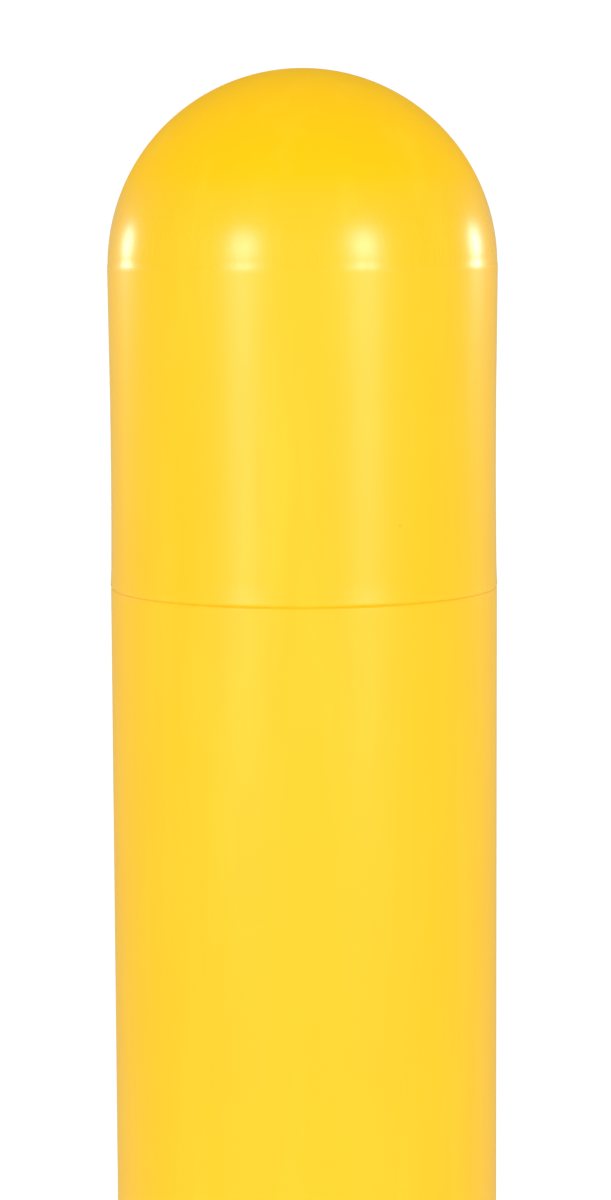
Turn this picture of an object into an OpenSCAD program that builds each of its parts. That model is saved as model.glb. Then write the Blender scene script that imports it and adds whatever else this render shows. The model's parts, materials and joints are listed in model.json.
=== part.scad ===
// Retractable street bollard: a gas-lifted steel post in a yellow plastic cover, sliding in a
// buried steel casing, with a key-turned lock bolt behind it. Ground level is z = 0 and the post
// stands raised. The lock is on the +Y side.

/* [Post] */
// Height of the dome's top above the ground with the post raised
post_height = 914; // [700:1:1100]
// Outside diameter of the steel tube
post_tube_d = 168.3; // [140:0.1:210]
// Wall of the steel tube
post_tube_wall = 7.1; // [5:0.1:10]
// Distance of the steel tube's top below the dome's widest level
post_top_drop = 10; // [5:1:30]
// Wall of the plastic cover
cover_wall = 3.5; // [3:0.1:5]
// Space between the steel tube and the plastic cover, taken up by foam
foam_space = 1.35; // [1:0.05:3]
// Straight skirt of the dome cap, from the dome down to the joint
skirt_h = 147; // [100:1:250]
// Height of the lap where the skirt sits over the lower sleeve
lap_h = 14; // [8:1:25]
// Radial step by which the lower sleeve is slimmer than the cap
sleeve_step = 0.2; // [0:0.05:0.4]
// Depth of the groove around the joint
groove_depth = 1; // [0.4:0.1:1.2]
// Height of the chamfer on each lip of the groove
groove_lip = 0.85; // [0.5:0.05:2]
// Width of one foam strip
foam_w = 20; // [10:1:40]

/* [Travel and stops] */
// Depth of the dome's top below the ground with the post lowered
lowered_depth = 2; // [0:1:20]
// Height of the top guide bush
guide_h = 80; // [50:1:120]
// Thickness of the welded stop ring
stop_ring_t = 10; // [6:1:16]
// Thickness of the rubber buffer under the stop ring
top_buffer_t = 12; // [8:1:20]
// Thickness of the post's stop collar
collar_t = 15; // [10:1:25]
// Distance from the stop collar down to the lower guide
guide_span = 63; // [40:1:200]
// Height of the lower guide
lower_guide_h = 60; // [40:1:100]
// Thickness of the ring at the post's foot
foot_ring_t = 10; // [6:1:16]
// Height of the rubber base buffers
base_buffer_h = 30; // [20:1:60]
// Diameter of the rubber base buffers
base_buffer_d = 26; // [16:1:30]
// Width of a guide rail
rail_w = 12; // [8:1:20]
// Depth of a guide rail
rail_depth = 7; // [4:1:8]

/* [Casing] */
// Thickness of the cover plate
plate_t = 10; // [8:1:16]
// Thickness of the frame plate under it
frame_t = 12; // [10:1:20]
// Radial gap between the cover plate's opening and the post
opening_gap = 2.5; // [1.5:0.1:5]
// Radial thickness of the top guide bush
guide_wall = 13.75; // [12:0.05:20]
// Wall of the casing tube
casing_wall = 6.3; // [4:0.1:10]
// Plate edge left behind the lock housing
plate_edge = 4; // [3:0.5:30]
// Distance of the anchor holes from the plate's edges
anchor_inset = 25; // [18:1:35]
// Diameter of the anchor holes
anchor_hole_d = 14; // [10:0.5:18]
// Width of the square base plate
base_w = 320; // [280:1:400]
// Thickness of the base plate
base_t = 12; // [8:1:20]
// Diameter of the anti-slip studs on the cover plate
stud_d = 8; // [5:0.5:10]
// Height of the anti-slip studs
stud_h = 2; // [1:0.5:3]
// Distance between neighbouring studs
stud_pitch = 23; // [18:1:40]
// Outside diameter of the drain spigot
drain_d = 50; // [32:1:63]
// Wall of the drain spigot
drain_wall = 3; // [2:0.5:5]
// Length of the drain spigot outside the casing
drain_len = 60; // [40:1:70]
// Diameter of the anchor bars
anchor_bar_d = 12; // [8:1:20]
// Length of the anchor bars
anchor_bar_len = 55; // [30:1:65]

/* [Gas spring] */
// Outside diameter of the pressure tube
gas_d = 40; // [34:1:60]
// Wall of the pressure tube
gas_wall = 3; // [2:0.5:5]
// Diameter of the piston rod
rod_d = 14; // [10:1:20]
// Height of the piston
piston_h = 20; // [12:1:30]
// Height of the rod gland
gland_h = 25; // [15:1:35]
// Free length left in the pressure tube beyond the stroke
gas_spare = 21; // [10:1:60]
// Diameter of the pin in the rod's eye
eye_pin_d = 12; // [8:1:16]
// Height of the eye's pin above the base plate
eye_h = 40; // [30:1:60]

/* [Lock] */
// Diameter of the lock bolt
bolt_d = 20; // [16:1:26]
// Distance of the bolt's axis below the top guide
bolt_drop = 33; // [20:1:60]
// Gap between the drawn bolt and the post
bolt_retreat = 3; // [2:0.5:5]
// Module of the pinion and the rack
gear_module = 2; // [1.75:0.25:2.5]
// Teeth of the pinion
pinion_teeth = 12; // [12:1:16]
// Width of the pinion
pinion_w = 18; // [12:1:20]
// Diameter of the key spindle
spindle_d = 14; // [12:0.5:15]
// Width across flats of the spindle's square head
key_flats = 12; // [8:1:14]
// Inside diameter of the tube that guides the key
key_tube_d = 26; // [25:1:30]
// Diameter of the keyhole in the cover plate
keyhole_d = 23; // [20:1:26]
// Thickness of the keyhole cover
flap_t = 4; // [3:0.5:6]
// Distance from the keyhole cover's pivot to the keyhole
flap_reach = 34; // [28:1:40]
// Wall of the lock housing
housing_wall = 5; // [4:0.5:8]

/* [Fits] */
// Radial gap of a turning shaft or sliding bolt
run_gap = 0.08; // [0.05:0.01:0.1]
// Radial gap between the post and the top guide
guide_gap = 0.5; // [0.3:0.05:1]
// Gap between flat pieces that come to rest on each other
seat_gap = 0.3; // [0.2:0.05:0.5]
// Gap around pieces that are welded or pressed in
weld_gap = 0.05; // [0.03:0.01:0.1]

/* [Hidden] */
$fn = 96;

// Extra length by which a cutter passes a face
over = 1;

// Post radii and levels
tube_r = post_tube_d / 2;
tube_in_r = tube_r - post_tube_wall;
cap_in_r = tube_r + foam_space;
cap_r = cap_in_r + cover_wall;
sleeve_r = cap_r - sleeve_step;
lap_r = cap_in_r + cover_wall / 2;
dome_z = post_height - cap_r;
joint_z = dome_z - skirt_h;
post_top = dome_z - post_top_drop;
travel = post_height + lowered_depth;

// Casing radii
stop_gap = 1;
opening_r = cap_r + opening_gap;
guide_in_r = cap_r + guide_gap;
casing_in_r = guide_in_r + guide_wall;
casing_r = casing_in_r + casing_wall;
stop_in_r = cap_r + stop_gap;

// Levels below ground, from the top down. The lock lies deep enough for the upper eyelet to
// clear the head plate.
head_plate_t = 12;
head_clear = 6;
bolt_r = bolt_d / 2;
eyelet_wall = 2;
eyelet_in_r = bolt_r + 1;
eyelet_r = eyelet_in_r + eyelet_wall;
stop_drop = 5;
rail_clear = 3;
rail_gap = 0.5;
foot_gap = 3;
frame_z = -plate_t - frame_t;
guide_z = frame_z - guide_h;
lock_room = cap_r + lowered_depth + post_top_drop + head_plate_t + head_clear + eyelet_r;
bolt_z = min(guide_z - bolt_drop, -lock_room);
stop_ring_z = bolt_z - bolt_r - stop_drop - stop_ring_t;
top_buffer_z = stop_ring_z - top_buffer_t;
collar_top = top_buffer_z - seat_gap;
collar_z = collar_top - collar_t;
lower_guide_z = collar_z - guide_span - lower_guide_h;
post_foot = lower_guide_z - foot_ring_t;
base_top = post_foot - travel - seat_gap - base_buffer_h;
rail_top = top_buffer_z - rail_clear;
foot_r = casing_in_r - foot_gap;
rail_in_r = casing_in_r - rail_depth;
rail_slot_r = rail_in_r - rail_gap;
rail_slot_w = rail_w + 2 * rail_gap;

// Gas spring levels
gas_boss_h = 8;
gas_end_t = 8;
gas_in_r = gas_d / 2 - gas_wall;
gas_top = post_top - head_plate_t - gas_boss_h;
piston_play = 10;
gas_foot = gas_top - gas_end_t - gas_spare - travel - piston_h - piston_play - gland_h;
piston_z = gas_foot + gland_h + piston_play;
eye_z = base_top + eye_h;
eye_r = 15;
eye_w = 14;
eye_neck_z = eye_z + 12.5;
eye_neck_top = eye_z + 45;
eye_neck_wall = 4;
rod_seat = 20;
rod_nut_h = 4;
stud_r = 6;
washer_t = 2.5;
nut_h = 10;
stud_end = 3;

// Lock: the pinion turns a quarter turn and moves the rack by a quarter of its pitch circle
pitch_r = gear_module * pinion_teeth / 2;
tooth_pitch = PI * gear_module;
bolt_travel = pitch_r * PI / 2;
pressure_angle = 25;
addendum = 0.9 * gear_module;
dedendum = 1.15 * gear_module;
backlash = 0.3;
rack_line = 0.7 * bolt_r;
pinion_x = rack_line + pitch_r;
bolt_tip = cap_r + bolt_retreat;
bolt_nose_h = 4;
bolt_nose_taper = 3;
bush_wall = 3;
bush_flange_w = 4;
bush_flange_t = 2.5;
bush_inset = 0.75;
bush_flange_y = casing_r + 0.45;
bush_end_y = bush_flange_y + 3;
tail_gap = 1;
mesh_half = ceil(sqrt(pow(pitch_r + addendum, 2) - pow(pitch_r - addendum, 2)));
tail_y = bush_end_y + bolt_travel + tail_gap;
tail_end_y = tail_y + bolt_travel + 2 * mesh_half;
pinion_y = tail_y + mesh_half;
slide_gap = 0.15;

// Lock housing
housing_room = [12, 9];
housing_in_x = [-bolt_r - housing_room[0], pinion_x + pitch_r + housing_room[1]];
housing_in_y = tail_end_y + 4;
housing_y = housing_in_y + housing_wall;
bracket_t = 12;
bush_land_h = 18;
bush_end = 2;
bracket_top = guide_z;
bracket_z = bracket_top - bracket_t;
bracket_y = casing_r + 8;
hub_h = 7.7;
pinion_z = bolt_z - pinion_w / 2;
lower_bush_top = pinion_z - hub_h - seat_gap;
housing_in_z = lower_bush_top - bush_land_h;
housing_z = housing_in_z - housing_wall;
spindle_r = spindle_d / 2;
spindle_bush_r = spindle_r + bush_wall;
spindle_collar_h = 4;
pin_r = 1.5;
circlip_t = 1.5;
circlip_w = 3;
circlip_opening = 4;
circlip_z = bracket_top + bush_flange_t + seat_gap;
circlip_depth = 0.5;
head_top = bracket_top + 62;
head_z = head_top - 20;
key_tube_wall = 2;
key_flange_w = 6;
key_flange_t = 3;
lock_screw_r = 3;
lock_screw_head = 2.5;
lock_screw_reach = 8;
bracket_screw_y = [casing_r + 20, casing_r + 52];
guide_screw_y = [casing_r + 20, casing_r + 50];
bolt_guide_gap = 5;
bolt_guide_lip = 8;
bolt_guide_x = 6;
guide_screw_r = 4;
guide_head_r = 7;
guide_screw_seat = 8;

// Cover plate and its fixings
plate_step = 10;
plate_w = plate_step * ceil(2 * (housing_y + plate_edge) / plate_step);
plate_corner = 12;
casing_room = 2;
anchor_at = plate_w / 2 - anchor_inset;
screw_circle_r = casing_r + 35;
screw_r = 5;
screw_head_r = 10;
screw_head_h = 5;
screw_len = 19;
screw_count = 8;
screw_first = 180 / screw_count;
screw_hex_r = 4;
flap_x = pinion_x - flap_reach;
flap_y = pinion_y;
flap_r = keyhole_d / 2 + 5.5;
flap_pivot_r = 5;
flap_hub_w = 5;
flap_arm_w = 3;
pivot_head_w = 3;
pivot_head_h = 2.4;
flap_gap = 0.2;

// Drain
drain_rise = 5;
drain_seat_r = drain_d / 2 - 0.5;
drain_z = base_top + drain_d / 2 + drain_rise;
drain_y = -casing_r - drain_len;

// Anchor bars: two levels of four bars on the casing
bar_levels = [base_top * 0.35, base_top * 0.75];

// Post fittings
foot_screw_r = 3;
foot_screw_head_r = 6;
foot_screw_head_h = 3;
foot_screw_hex_r = 2.5;
foot_screw_bite = 18;
foam_end = 20;
foam_lap = 10;

// ---------------------------------------------------------------- shared shapes

// A ring about the Z axis with its lower face at z
module ring(outer, inner, z, h) {
    translate([0, 0, z])
    difference() {
        cylinder(h = h, r = outer);
        translate([0, 0, -over])
        cylinder(h = h + 2 * over, r = inner);
    }
}

// A square plate with cut corners and its lower face at z
module square_plate(w, t, z) {
    half = w / 2;
    inner = half - plate_corner;
    translate([0, 0, z])
    linear_extrude(height = t)
    polygon([
        [half, -inner], [half, inner], [inner, half], [-inner, half],
        [-half, inner], [-half, -inner], [-inner, -half], [inner, -half]
    ]);
}

// Children repeated at even angles about the Z axis
module around(count, first) {
    for (i = [0 : count - 1])
        rotate([0, 0, first + i * 360 / count])
        children();
}

// Children at the four anchor holes
module at_anchors() {
    for (sx = [-1, 1], sy = [-1, 1])
        translate([sx * anchor_at, sy * anchor_at, 0])
        children();
}

// A cylinder lying along +Y, from y0 to y1
module along_y(r, y0, y1) {
    translate([0, y0, 0])
    rotate([-90, 0, 0])
    cylinder(h = y1 - y0, r = r);
}

// A cylinder lying along +X, from x0 to x1
module along_x(r, x0, x1) {
    translate([x0, 0, 0])
    rotate([0, 90, 0])
    cylinder(h = x1 - x0, r = r);
}

// A box given by its lowest and highest corners
module block(low, high) {
    translate(low)
    cube(high - low);
}

// A countersunk screw pointing down, with the top of its head at z = 0
module flat_screw(r, head_r, head_h, len, hex_r) {
    difference() {
        union() {
            translate([0, 0, -len])
            cylinder(h = len - head_h, r = r);
            translate([0, 0, -head_h])
            cylinder(h = head_h, r1 = r, r2 = head_r);
        }
        translate([0, 0, -0.6 * head_h])
        cylinder(h = head_h, r = hex_r, $fn = 6);
    }
}

// The hole that the screw above sits in, through a piece that ends at depth
module flat_screw_hole(r, head_r, head_h, depth) {
    translate([0, 0, -depth])
    cylinder(h = depth, r = r + 2 * weld_gap);
    translate([0, 0, -head_h])
    cylinder(h = head_h, r1 = r + 2 * weld_gap, r2 = head_r + 2 * weld_gap);
    translate([0, 0, -weld_gap])
    cylinder(h = over, r = head_r + 2 * weld_gap);
}

// The slots that let a ring on the post pass the two guide rails
module rail_slots(z, h) {
    for (side = [0, 180])
        rotate([0, 0, side])
        translate([rail_slot_r, -rail_slot_w / 2, z - over])
        cube([casing_in_r, rail_slot_w, h + 2 * over]);
}

// The two holes for the lock bolt in the post's walls
module lock_holes(r) {
    for (z = [bolt_z, bolt_z + travel])
        translate([0, 0, z])
        along_y(r, tube_in_r / 2, cap_r + 2 * over);
}

// ---------------------------------------------------------------- cover and frame

function polar(r, a) = [r * cos(a), r * sin(a)];

function near_screw(p) =
    min([for (i = [0 : screw_count - 1])
        norm(p - polar(screw_circle_r, screw_first + i * 360 / screw_count))]);

function near_anchor(p) = norm([abs(p[0]) - anchor_at, abs(p[1]) - anchor_at]);

function stud_fits(p) =
    norm(p) > opening_r + stud_d
    && near_screw(p) > screw_head_r + stud_d
    && near_anchor(p) > anchor_hole_d / 2 + stud_d
    && (p[1] < opening_r || abs(p[0]) > flap_reach + flap_r);

module studs() {
    steps = floor((plate_w / 2 - stud_d) / stud_pitch);
    for (i = [-steps : steps], j = [-steps : steps])
        if (stud_fits([i * stud_pitch, j * stud_pitch]))
            translate([i * stud_pitch, j * stud_pitch, -over])
            cylinder(h = over + stud_h, d = stud_d);
}

module at_screws() {
    around(screw_count, screw_first)
    translate([screw_circle_r, 0, 0])
    children();
}

module cover_plate() {
    color("dimgray")
    difference() {
        union() {
            square_plate(plate_w, plate_t, -plate_t);
            studs();
        }
        translate([0, 0, -plate_t - over])
        cylinder(h = plate_t + 2 * over, r = opening_r);
        at_screws()
        flat_screw_hole(screw_r, screw_head_r, screw_head_h, plate_t + over);
        at_anchors()
        translate([0, 0, -plate_t - over])
        cylinder(h = plate_t + 2 * over, d = anchor_hole_d);
        translate([pinion_x, pinion_y, -plate_t - over])
        cylinder(h = plate_t + 2 * over, d = keyhole_d);
        translate([flap_x, flap_y, -plate_t - over])
        cylinder(h = plate_t + 2 * over, r = flap_pivot_r + weld_gap);
    }
}

module cover_screws() {
    color("silver")
    at_screws()
    translate([0, 0, -weld_gap])
    flat_screw(screw_r, screw_head_r, screw_head_h, screw_len, screw_hex_r);
}

module frame_plate() {
    color("gray")
    difference() {
        square_plate(plate_w, frame_t, frame_z);
        translate([0, 0, frame_z - over])
        cylinder(h = frame_t + 2 * over, r = casing_in_r);
        at_screws()
        translate([0, 0, frame_z - over])
        cylinder(h = frame_t + 2 * over, r = screw_r + 2 * weld_gap);
        at_anchors()
        translate([0, 0, frame_z - over])
        cylinder(h = frame_t + 2 * over, d = anchor_hole_d);
        block(
            [housing_in_x[0], casing_r + casing_room, frame_z - over],
            [housing_in_x[1], housing_in_y, frame_z + frame_t + over]
        );
        translate([flap_x, flap_y, frame_z - over])
        cylinder(h = frame_t + 2 * over, r = flap_pivot_r + over);
    }
}

module wiper_seal() {
    lip_r = cap_r + seat_gap;
    outer = casing_in_r - weld_gap;
    body_r = (opening_r + casing_in_r) / 2;
    color("black")
    rotate_extrude()
    polygon([
        [body_r, frame_z], [outer, frame_z], [outer, -plate_t], [opening_r, -plate_t],
        [lip_r, -plate_t - 2], [lip_r, -plate_t - 4], [body_r, -plate_t - 6]
    ]);
}

// ---------------------------------------------------------------- casing

module casing_tube() {
    color("gray")
    difference() {
        ring(casing_r, casing_in_r, base_top, frame_z - base_top);
        translate([0, 0, bolt_z])
        along_y(bolt_r + bush_wall + weld_gap, casing_in_r / 2, casing_r + over);
        at_guide_screws()
        along_x(guide_screw_r + weld_gap, casing_in_r / 2, casing_r + over);
        translate([0, 0, drain_z])
        along_y(drain_seat_r + weld_gap, -casing_r - over, -casing_in_r / 2);
    }
}

module at_guide_screws() {
    around(4, 45)
    translate([0, 0, frame_z - guide_h / 2])
    children();
}

module upper_guide() {
    color("white")
    difference() {
        ring(casing_in_r - weld_gap, guide_in_r, guide_z, guide_h);
        at_guide_screws()
        along_x(guide_screw_r + weld_gap, casing_in_r - guide_screw_seat, casing_r);
    }
}

module guide_screws() {
    head_h = 5;
    color("silver")
    at_guide_screws()
    union() {
        along_x(guide_screw_r, casing_in_r - guide_screw_seat + over, casing_r + head_h / 2);
        along_x(guide_head_r, casing_r + weld_gap, casing_r + head_h);
    }
}

module stop_ring() {
    color("gray")
    ring(casing_in_r - weld_gap, stop_in_r, stop_ring_z, stop_ring_t);
}

module top_buffer() {
    color("black")
    ring(casing_in_r - over, stop_in_r + over / 2, top_buffer_z, top_buffer_t);
}

module guide_rails() {
    color("silver")
    for (side = [0, 180])
        rotate([0, 0, side])
        translate([rail_in_r, -rail_w / 2, base_top])
        cube([rail_depth - seat_gap, rail_w, rail_top - base_top]);
}

module casing_base() {
    color("gray")
    square_plate(base_w, base_t, base_top - base_t);
}

module base_buffers() {
    color("black")
    around(4, 45)
    translate([tube_r, 0, base_top])
    cylinder(h = base_buffer_h, d = base_buffer_d);
}

module drain_spigot() {
    inner_end = -casing_in_r - bush_inset;
    shoulder_y = -casing_r - seat_gap;
    color("gray")
    translate([0, 0, drain_z])
    difference() {
        union() {
            along_y(drain_d / 2, drain_y, shoulder_y);
            along_y(drain_seat_r, drain_y + over, inner_end);
        }
        along_y(drain_d / 2 - drain_wall, drain_y - over, inner_end + over);
    }
}

module anchor_bars() {
    color("saddlebrown")
    for (z = bar_levels)
        translate([0, 0, z])
        around(4, 45)
        along_x(anchor_bar_d / 2, casing_r + weld_gap, casing_r + anchor_bar_len);
}

// ---------------------------------------------------------------- gas spring mounting

module base_bracket() {
    pad = [70, 50, 8];
    ear_t = 8;
    ear_w = 40;
    ear_gap = eye_w / 2 + 0.6;
    color("gray")
    difference() {
        union() {
            translate([-pad[0] / 2, -pad[1] / 2, base_top])
            cube(pad);
            for (side = [0, 180])
                rotate([0, 0, side])
                translate([ear_gap, -ear_w / 2, base_top])
                cube([ear_t, ear_w, eye_neck_z - seat_gap - base_top]);
        }
        translate([0, 0, eye_z])
        along_x(eye_pin_d / 2 + weld_gap, -pad[0], pad[0]);
    }
}

module base_pin() {
    pin_half = 22;
    head_t = 4;
    color("silver")
    translate([0, 0, eye_z])
    union() {
        along_x(eye_pin_d / 2, -pin_half, pin_half);
        along_x(eye_pin_d / 2 + 3, -pin_half, -pin_half + head_t);
    }
}

module rod_eye() {
    color("silver")
    difference() {
        union() {
            translate([0, 0, eye_z])
            along_x(eye_r, -eye_w / 2, eye_w / 2);
            translate([0, 0, eye_neck_z])
            cylinder(h = eye_neck_top - eye_neck_z, r = rod_d / 2 + eye_neck_wall);
        }
        translate([0, 0, eye_z])
        along_x(eye_pin_d / 2 + weld_gap, -eye_w, eye_w);
        translate([0, 0, eye_neck_top - rod_seat])
        cylinder(h = rod_seat + over, r = rod_d / 2 + weld_gap);
    }
}

module gas_rod() {
    rod_foot = eye_neck_top - rod_seat + over;
    color("lightgray")
    translate([0, 0, rod_foot])
    cylinder(h = piston_z + piston_h + rod_nut_h - rod_foot, d = rod_d);
}

module gas_piston() {
    color("tan")
    ring(gas_in_r - run_gap, rod_d / 2 + weld_gap, piston_z, piston_h);
}

// ---------------------------------------------------------------- lock, fixed pieces

module lock_housing() {
    low = [housing_in_x[0] - housing_wall, casing_r / 2, housing_z];
    high = [housing_in_x[1] + housing_wall, housing_y, frame_z];
    color("gray")
    difference() {
        block(low, high);
        block(
            [housing_in_x[0], 0, housing_in_z],
            [housing_in_x[1], housing_in_y, frame_z + over]
        );
        translate([0, 0, housing_z - over])
        cylinder(h = frame_z - housing_z + 2 * over, r = casing_r + weld_gap);
        translate([pinion_x, pinion_y, housing_z - over])
        cylinder(h = housing_wall + 2 * over, r = spindle_bush_r + weld_gap);
        lock_screw_holes();
    }
}

// A screw through the housing's left wall, with the wall's outer face at x = 0
module side_screw() {
    head_h = 3.5;
    along_x(lock_screw_r, -head_h / 2, housing_wall + lock_screw_reach);
    along_x(lock_screw_r + lock_screw_head, -head_h, -weld_gap);
}

// The hole for that screw
module side_screw_hole() {
    along_x(lock_screw_r + weld_gap, -over, housing_wall + lock_screw_reach + over);
}

// Children where the screws hold the bracket and the bolt guide to the housing's sides
module at_lock_screws() {
    left = housing_in_x[0] - housing_wall;
    right = housing_in_x[1] + housing_wall;
    for (y = bracket_screw_y) {
        translate([left, y, bracket_z + bracket_t / 2])
        children();
        translate([right, y, bracket_z + bracket_t / 2])
        mirror([1, 0, 0])
        children();
    }
    for (y = guide_screw_y)
        translate([left, y, bolt_z])
        children();
}

module lock_screw_holes() {
    at_lock_screws()
    side_screw_hole();
}

module lock_screws() {
    color("silver")
    at_lock_screws()
    side_screw();
}

module spindle_bracket() {
    color("lightgray")
    difference() {
        block(
            [housing_in_x[0] + 2 * weld_gap, bracket_y, bracket_z],
            [housing_in_x[1] - 2 * weld_gap, housing_in_y - 2 * weld_gap, bracket_top]
        );
        translate([pinion_x, pinion_y, bracket_z - over])
        cylinder(h = bracket_t + 2 * over, r = spindle_bush_r + weld_gap);
        lock_screw_holes();
    }
}

// A flanged bush about the Z axis: the flange sits on the face at z = 0
module flanged_bush(below, above) {
    ring(spindle_bush_r, spindle_r + run_gap, -below, below + above);
    ring(spindle_bush_r + bush_flange_t, spindle_bush_r - over / 2, 0, bush_flange_t);
}

module spindle_bushes() {
    color("peru")
    translate([pinion_x, pinion_y, 0]) {
        translate([0, 0, bracket_top])
        flanged_bush(bracket_t + bush_end, bush_flange_t);
        translate([0, 0, housing_in_z])
        flanged_bush(housing_wall, lower_bush_top - housing_in_z);
    }
}

module bolt_bush() {
    color("peru")
    translate([0, 0, bolt_z])
    difference() {
        union() {
            along_y(bolt_r + bush_wall, casing_in_r + bush_inset, bush_end_y);
            along_y(bolt_r + bush_wall + bush_flange_w, bush_flange_y, bush_end_y);
        }
        along_y(bolt_r + run_gap, casing_in_r - over, bush_end_y + over);
    }
}

module bolt_guide() {
    slot = bolt_r + slide_gap;
    color("peru")
    difference() {
        block(
            [housing_in_x[0] + 2 * weld_gap, bush_end_y + bolt_guide_gap, bolt_z - slot - bolt_guide_lip],
            [bolt_guide_x, tail_end_y, bolt_z + slot + bolt_guide_lip]
        );
        block(
            [-slot, bush_end_y, bolt_z - slot],
            [bolt_guide_x + over, tail_end_y + over, bolt_z + slot]
        );
        lock_screw_holes();
    }
}

module key_tube() {
    inner = key_tube_d / 2;
    color("lightgray")
    translate([pinion_x, pinion_y, 0])
    union() {
        ring(inner + key_tube_wall, inner, bracket_top, -plate_t - seat_gap - bracket_top);
        ring(inner + key_flange_w, inner + key_tube_wall / 2, bracket_top, key_flange_t);
    }
}

module flap_pivot() {
    flap_top = flap_gap + flap_t;
    color("silver")
    translate([flap_x, flap_y, 0])
    union() {
        translate([0, 0, -plate_t])
        cylinder(h = plate_t + flap_top + over, r = flap_pivot_r);
        translate([0, 0, flap_top + flap_gap])
        cylinder(h = pivot_head_h, r = flap_pivot_r + pivot_head_w);
    }
}

// ---------------------------------------------------------------- post

module post_tube() {
    color("silver")
    difference() {
        ring(tube_r, tube_in_r, post_foot, post_top - post_foot);
        lock_holes(eyelet_r + weld_gap);
    }
}

module lower_sleeve() {
    color("gold")
    difference() {
        rotate_extrude()
        polygon([
            [cap_in_r, collar_top], [sleeve_r, collar_top], [sleeve_r, joint_z - groove_lip],
            [sleeve_r - groove_depth, joint_z], [lap_r, joint_z], [lap_r, joint_z + lap_h],
            [cap_in_r, joint_z + lap_h]
        ]);
        lock_holes(eyelet_r + weld_gap);
    }
}

module dome_outline(r) {
    intersection() {
        translate([0, dome_z])
        circle(r = r);
        translate([0, dome_z])
        square([2 * r, 2 * r]);
    }
}

module dome_cap() {
    color("gold")
    difference() {
        rotate_extrude()
        difference() {
            union() {
                dome_outline(cap_r);
                polygon([
                    [0, joint_z], [cap_r - groove_depth, joint_z], [cap_r, joint_z + groove_lip],
                    [cap_r, dome_z], [0, dome_z]
                ]);
            }
            dome_outline(cap_in_r);
            translate([0, joint_z - over])
            square([cap_in_r, dome_z - joint_z + over]);
            translate([0, joint_z - over])
            square([lap_r + 2 * weld_gap, lap_h + over + seat_gap]);
        }
        lock_holes(eyelet_r + weld_gap);
    }
}

// One row of foam strips between the steel tube and the cover
module foam_row(z0, z1) {
    intersection() {
        ring(cap_in_r - 2 * weld_gap, tube_r + 2 * weld_gap, z0, z1 - z0);
        union() {
            around(6, 0)
            translate([tube_in_r, -foam_w / 2, z0 - over])
            cube([cap_r - tube_in_r, foam_w, z1 - z0 + 2 * over]);
        }
    }
}

module foam_strips() {
    color("dimgray") {
        foam_row(collar_top + foam_end, joint_z - foam_end);
        foam_row(joint_z + lap_h + foam_lap, post_top - foam_lap);
    }
}

module lock_eyelets() {
    color("silver")
    for (z = [bolt_z, bolt_z + travel])
        translate([0, 0, z])
        difference() {
            along_y(eyelet_r, tube_in_r - over, sleeve_r - over);
            along_y(eyelet_in_r, tube_in_r - 2 * over, sleeve_r);
        }
}

module head_plate() {
    color("gray")
    ring(tube_in_r - weld_gap, stud_r + 2 * weld_gap, post_top - head_plate_t, head_plate_t);
}

module stop_collar() {
    color("gray")
    difference() {
        ring(casing_in_r - over, tube_r + weld_gap, collar_z, collar_t);
        rail_slots(collar_z, collar_t);
    }
}

module at_foot_screws() {
    around(6, 30)
    translate([(tube_r + foot_r) / 2, 0, post_foot])
    rotate([180, 0, 0])
    children();
}

module lower_guide() {
    color("white")
    difference() {
        ring(casing_in_r - guide_gap / 2, tube_r + 2 * weld_gap, lower_guide_z, lower_guide_h);
        rail_slots(lower_guide_z, lower_guide_h);
        at_foot_screws()
        translate([0, 0, -foot_ring_t - foot_screw_bite - 2 * over])
        cylinder(h = foot_ring_t + foot_screw_bite + 2 * over, r = foot_screw_r + 2 * weld_gap);
    }
}

module foot_ring() {
    color("gray")
    difference() {
        ring(foot_r, tube_r + weld_gap, post_foot, foot_ring_t);
        rail_slots(post_foot, foot_ring_t);
        at_foot_screws()
        flat_screw_hole(foot_screw_r, foot_screw_head_r, foot_screw_head_h, foot_ring_t + over);
    }
}

module foot_screws() {
    color("silver")
    at_foot_screws()
    translate([0, 0, -weld_gap])
    flat_screw(
        foot_screw_r, foot_screw_head_r, foot_screw_head_h,
        foot_ring_t + foot_screw_bite, foot_screw_hex_r
    );
}

module gas_cylinder() {
    outer = gas_d / 2;
    boss_top = gas_top + gas_boss_h;
    stud_top = post_top + washer_t + nut_h + stud_end;
    color("dimgray")
    rotate_extrude()
    polygon([
        [gas_in_r, gas_foot], [outer, gas_foot], [outer, gas_top], [2 * stud_r, gas_top],
        [2 * stud_r, boss_top], [stud_r, boss_top], [stud_r, stud_top], [0, stud_top],
        [0, gas_top - gas_end_t], [gas_in_r, gas_top - gas_end_t]
    ]);
}

module gas_gland() {
    color("tan")
    ring(gas_in_r - weld_gap, rod_d / 2 + run_gap, gas_foot, gland_h);
}

module gas_nut() {
    nut_r = 11;
    washer_r = 14;
    color("silver") {
        ring(washer_r, stud_r + 2 * weld_gap, post_top, washer_t);
        translate([0, 0, post_top + washer_t])
        difference() {
            cylinder(h = nut_h, r = nut_r, $fn = 6);
            translate([0, 0, -over])
            cylinder(h = nut_h + 2 * over, r = stud_r + weld_gap);
        }
    }
}

// ---------------------------------------------------------------- lock, moving pieces

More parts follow.
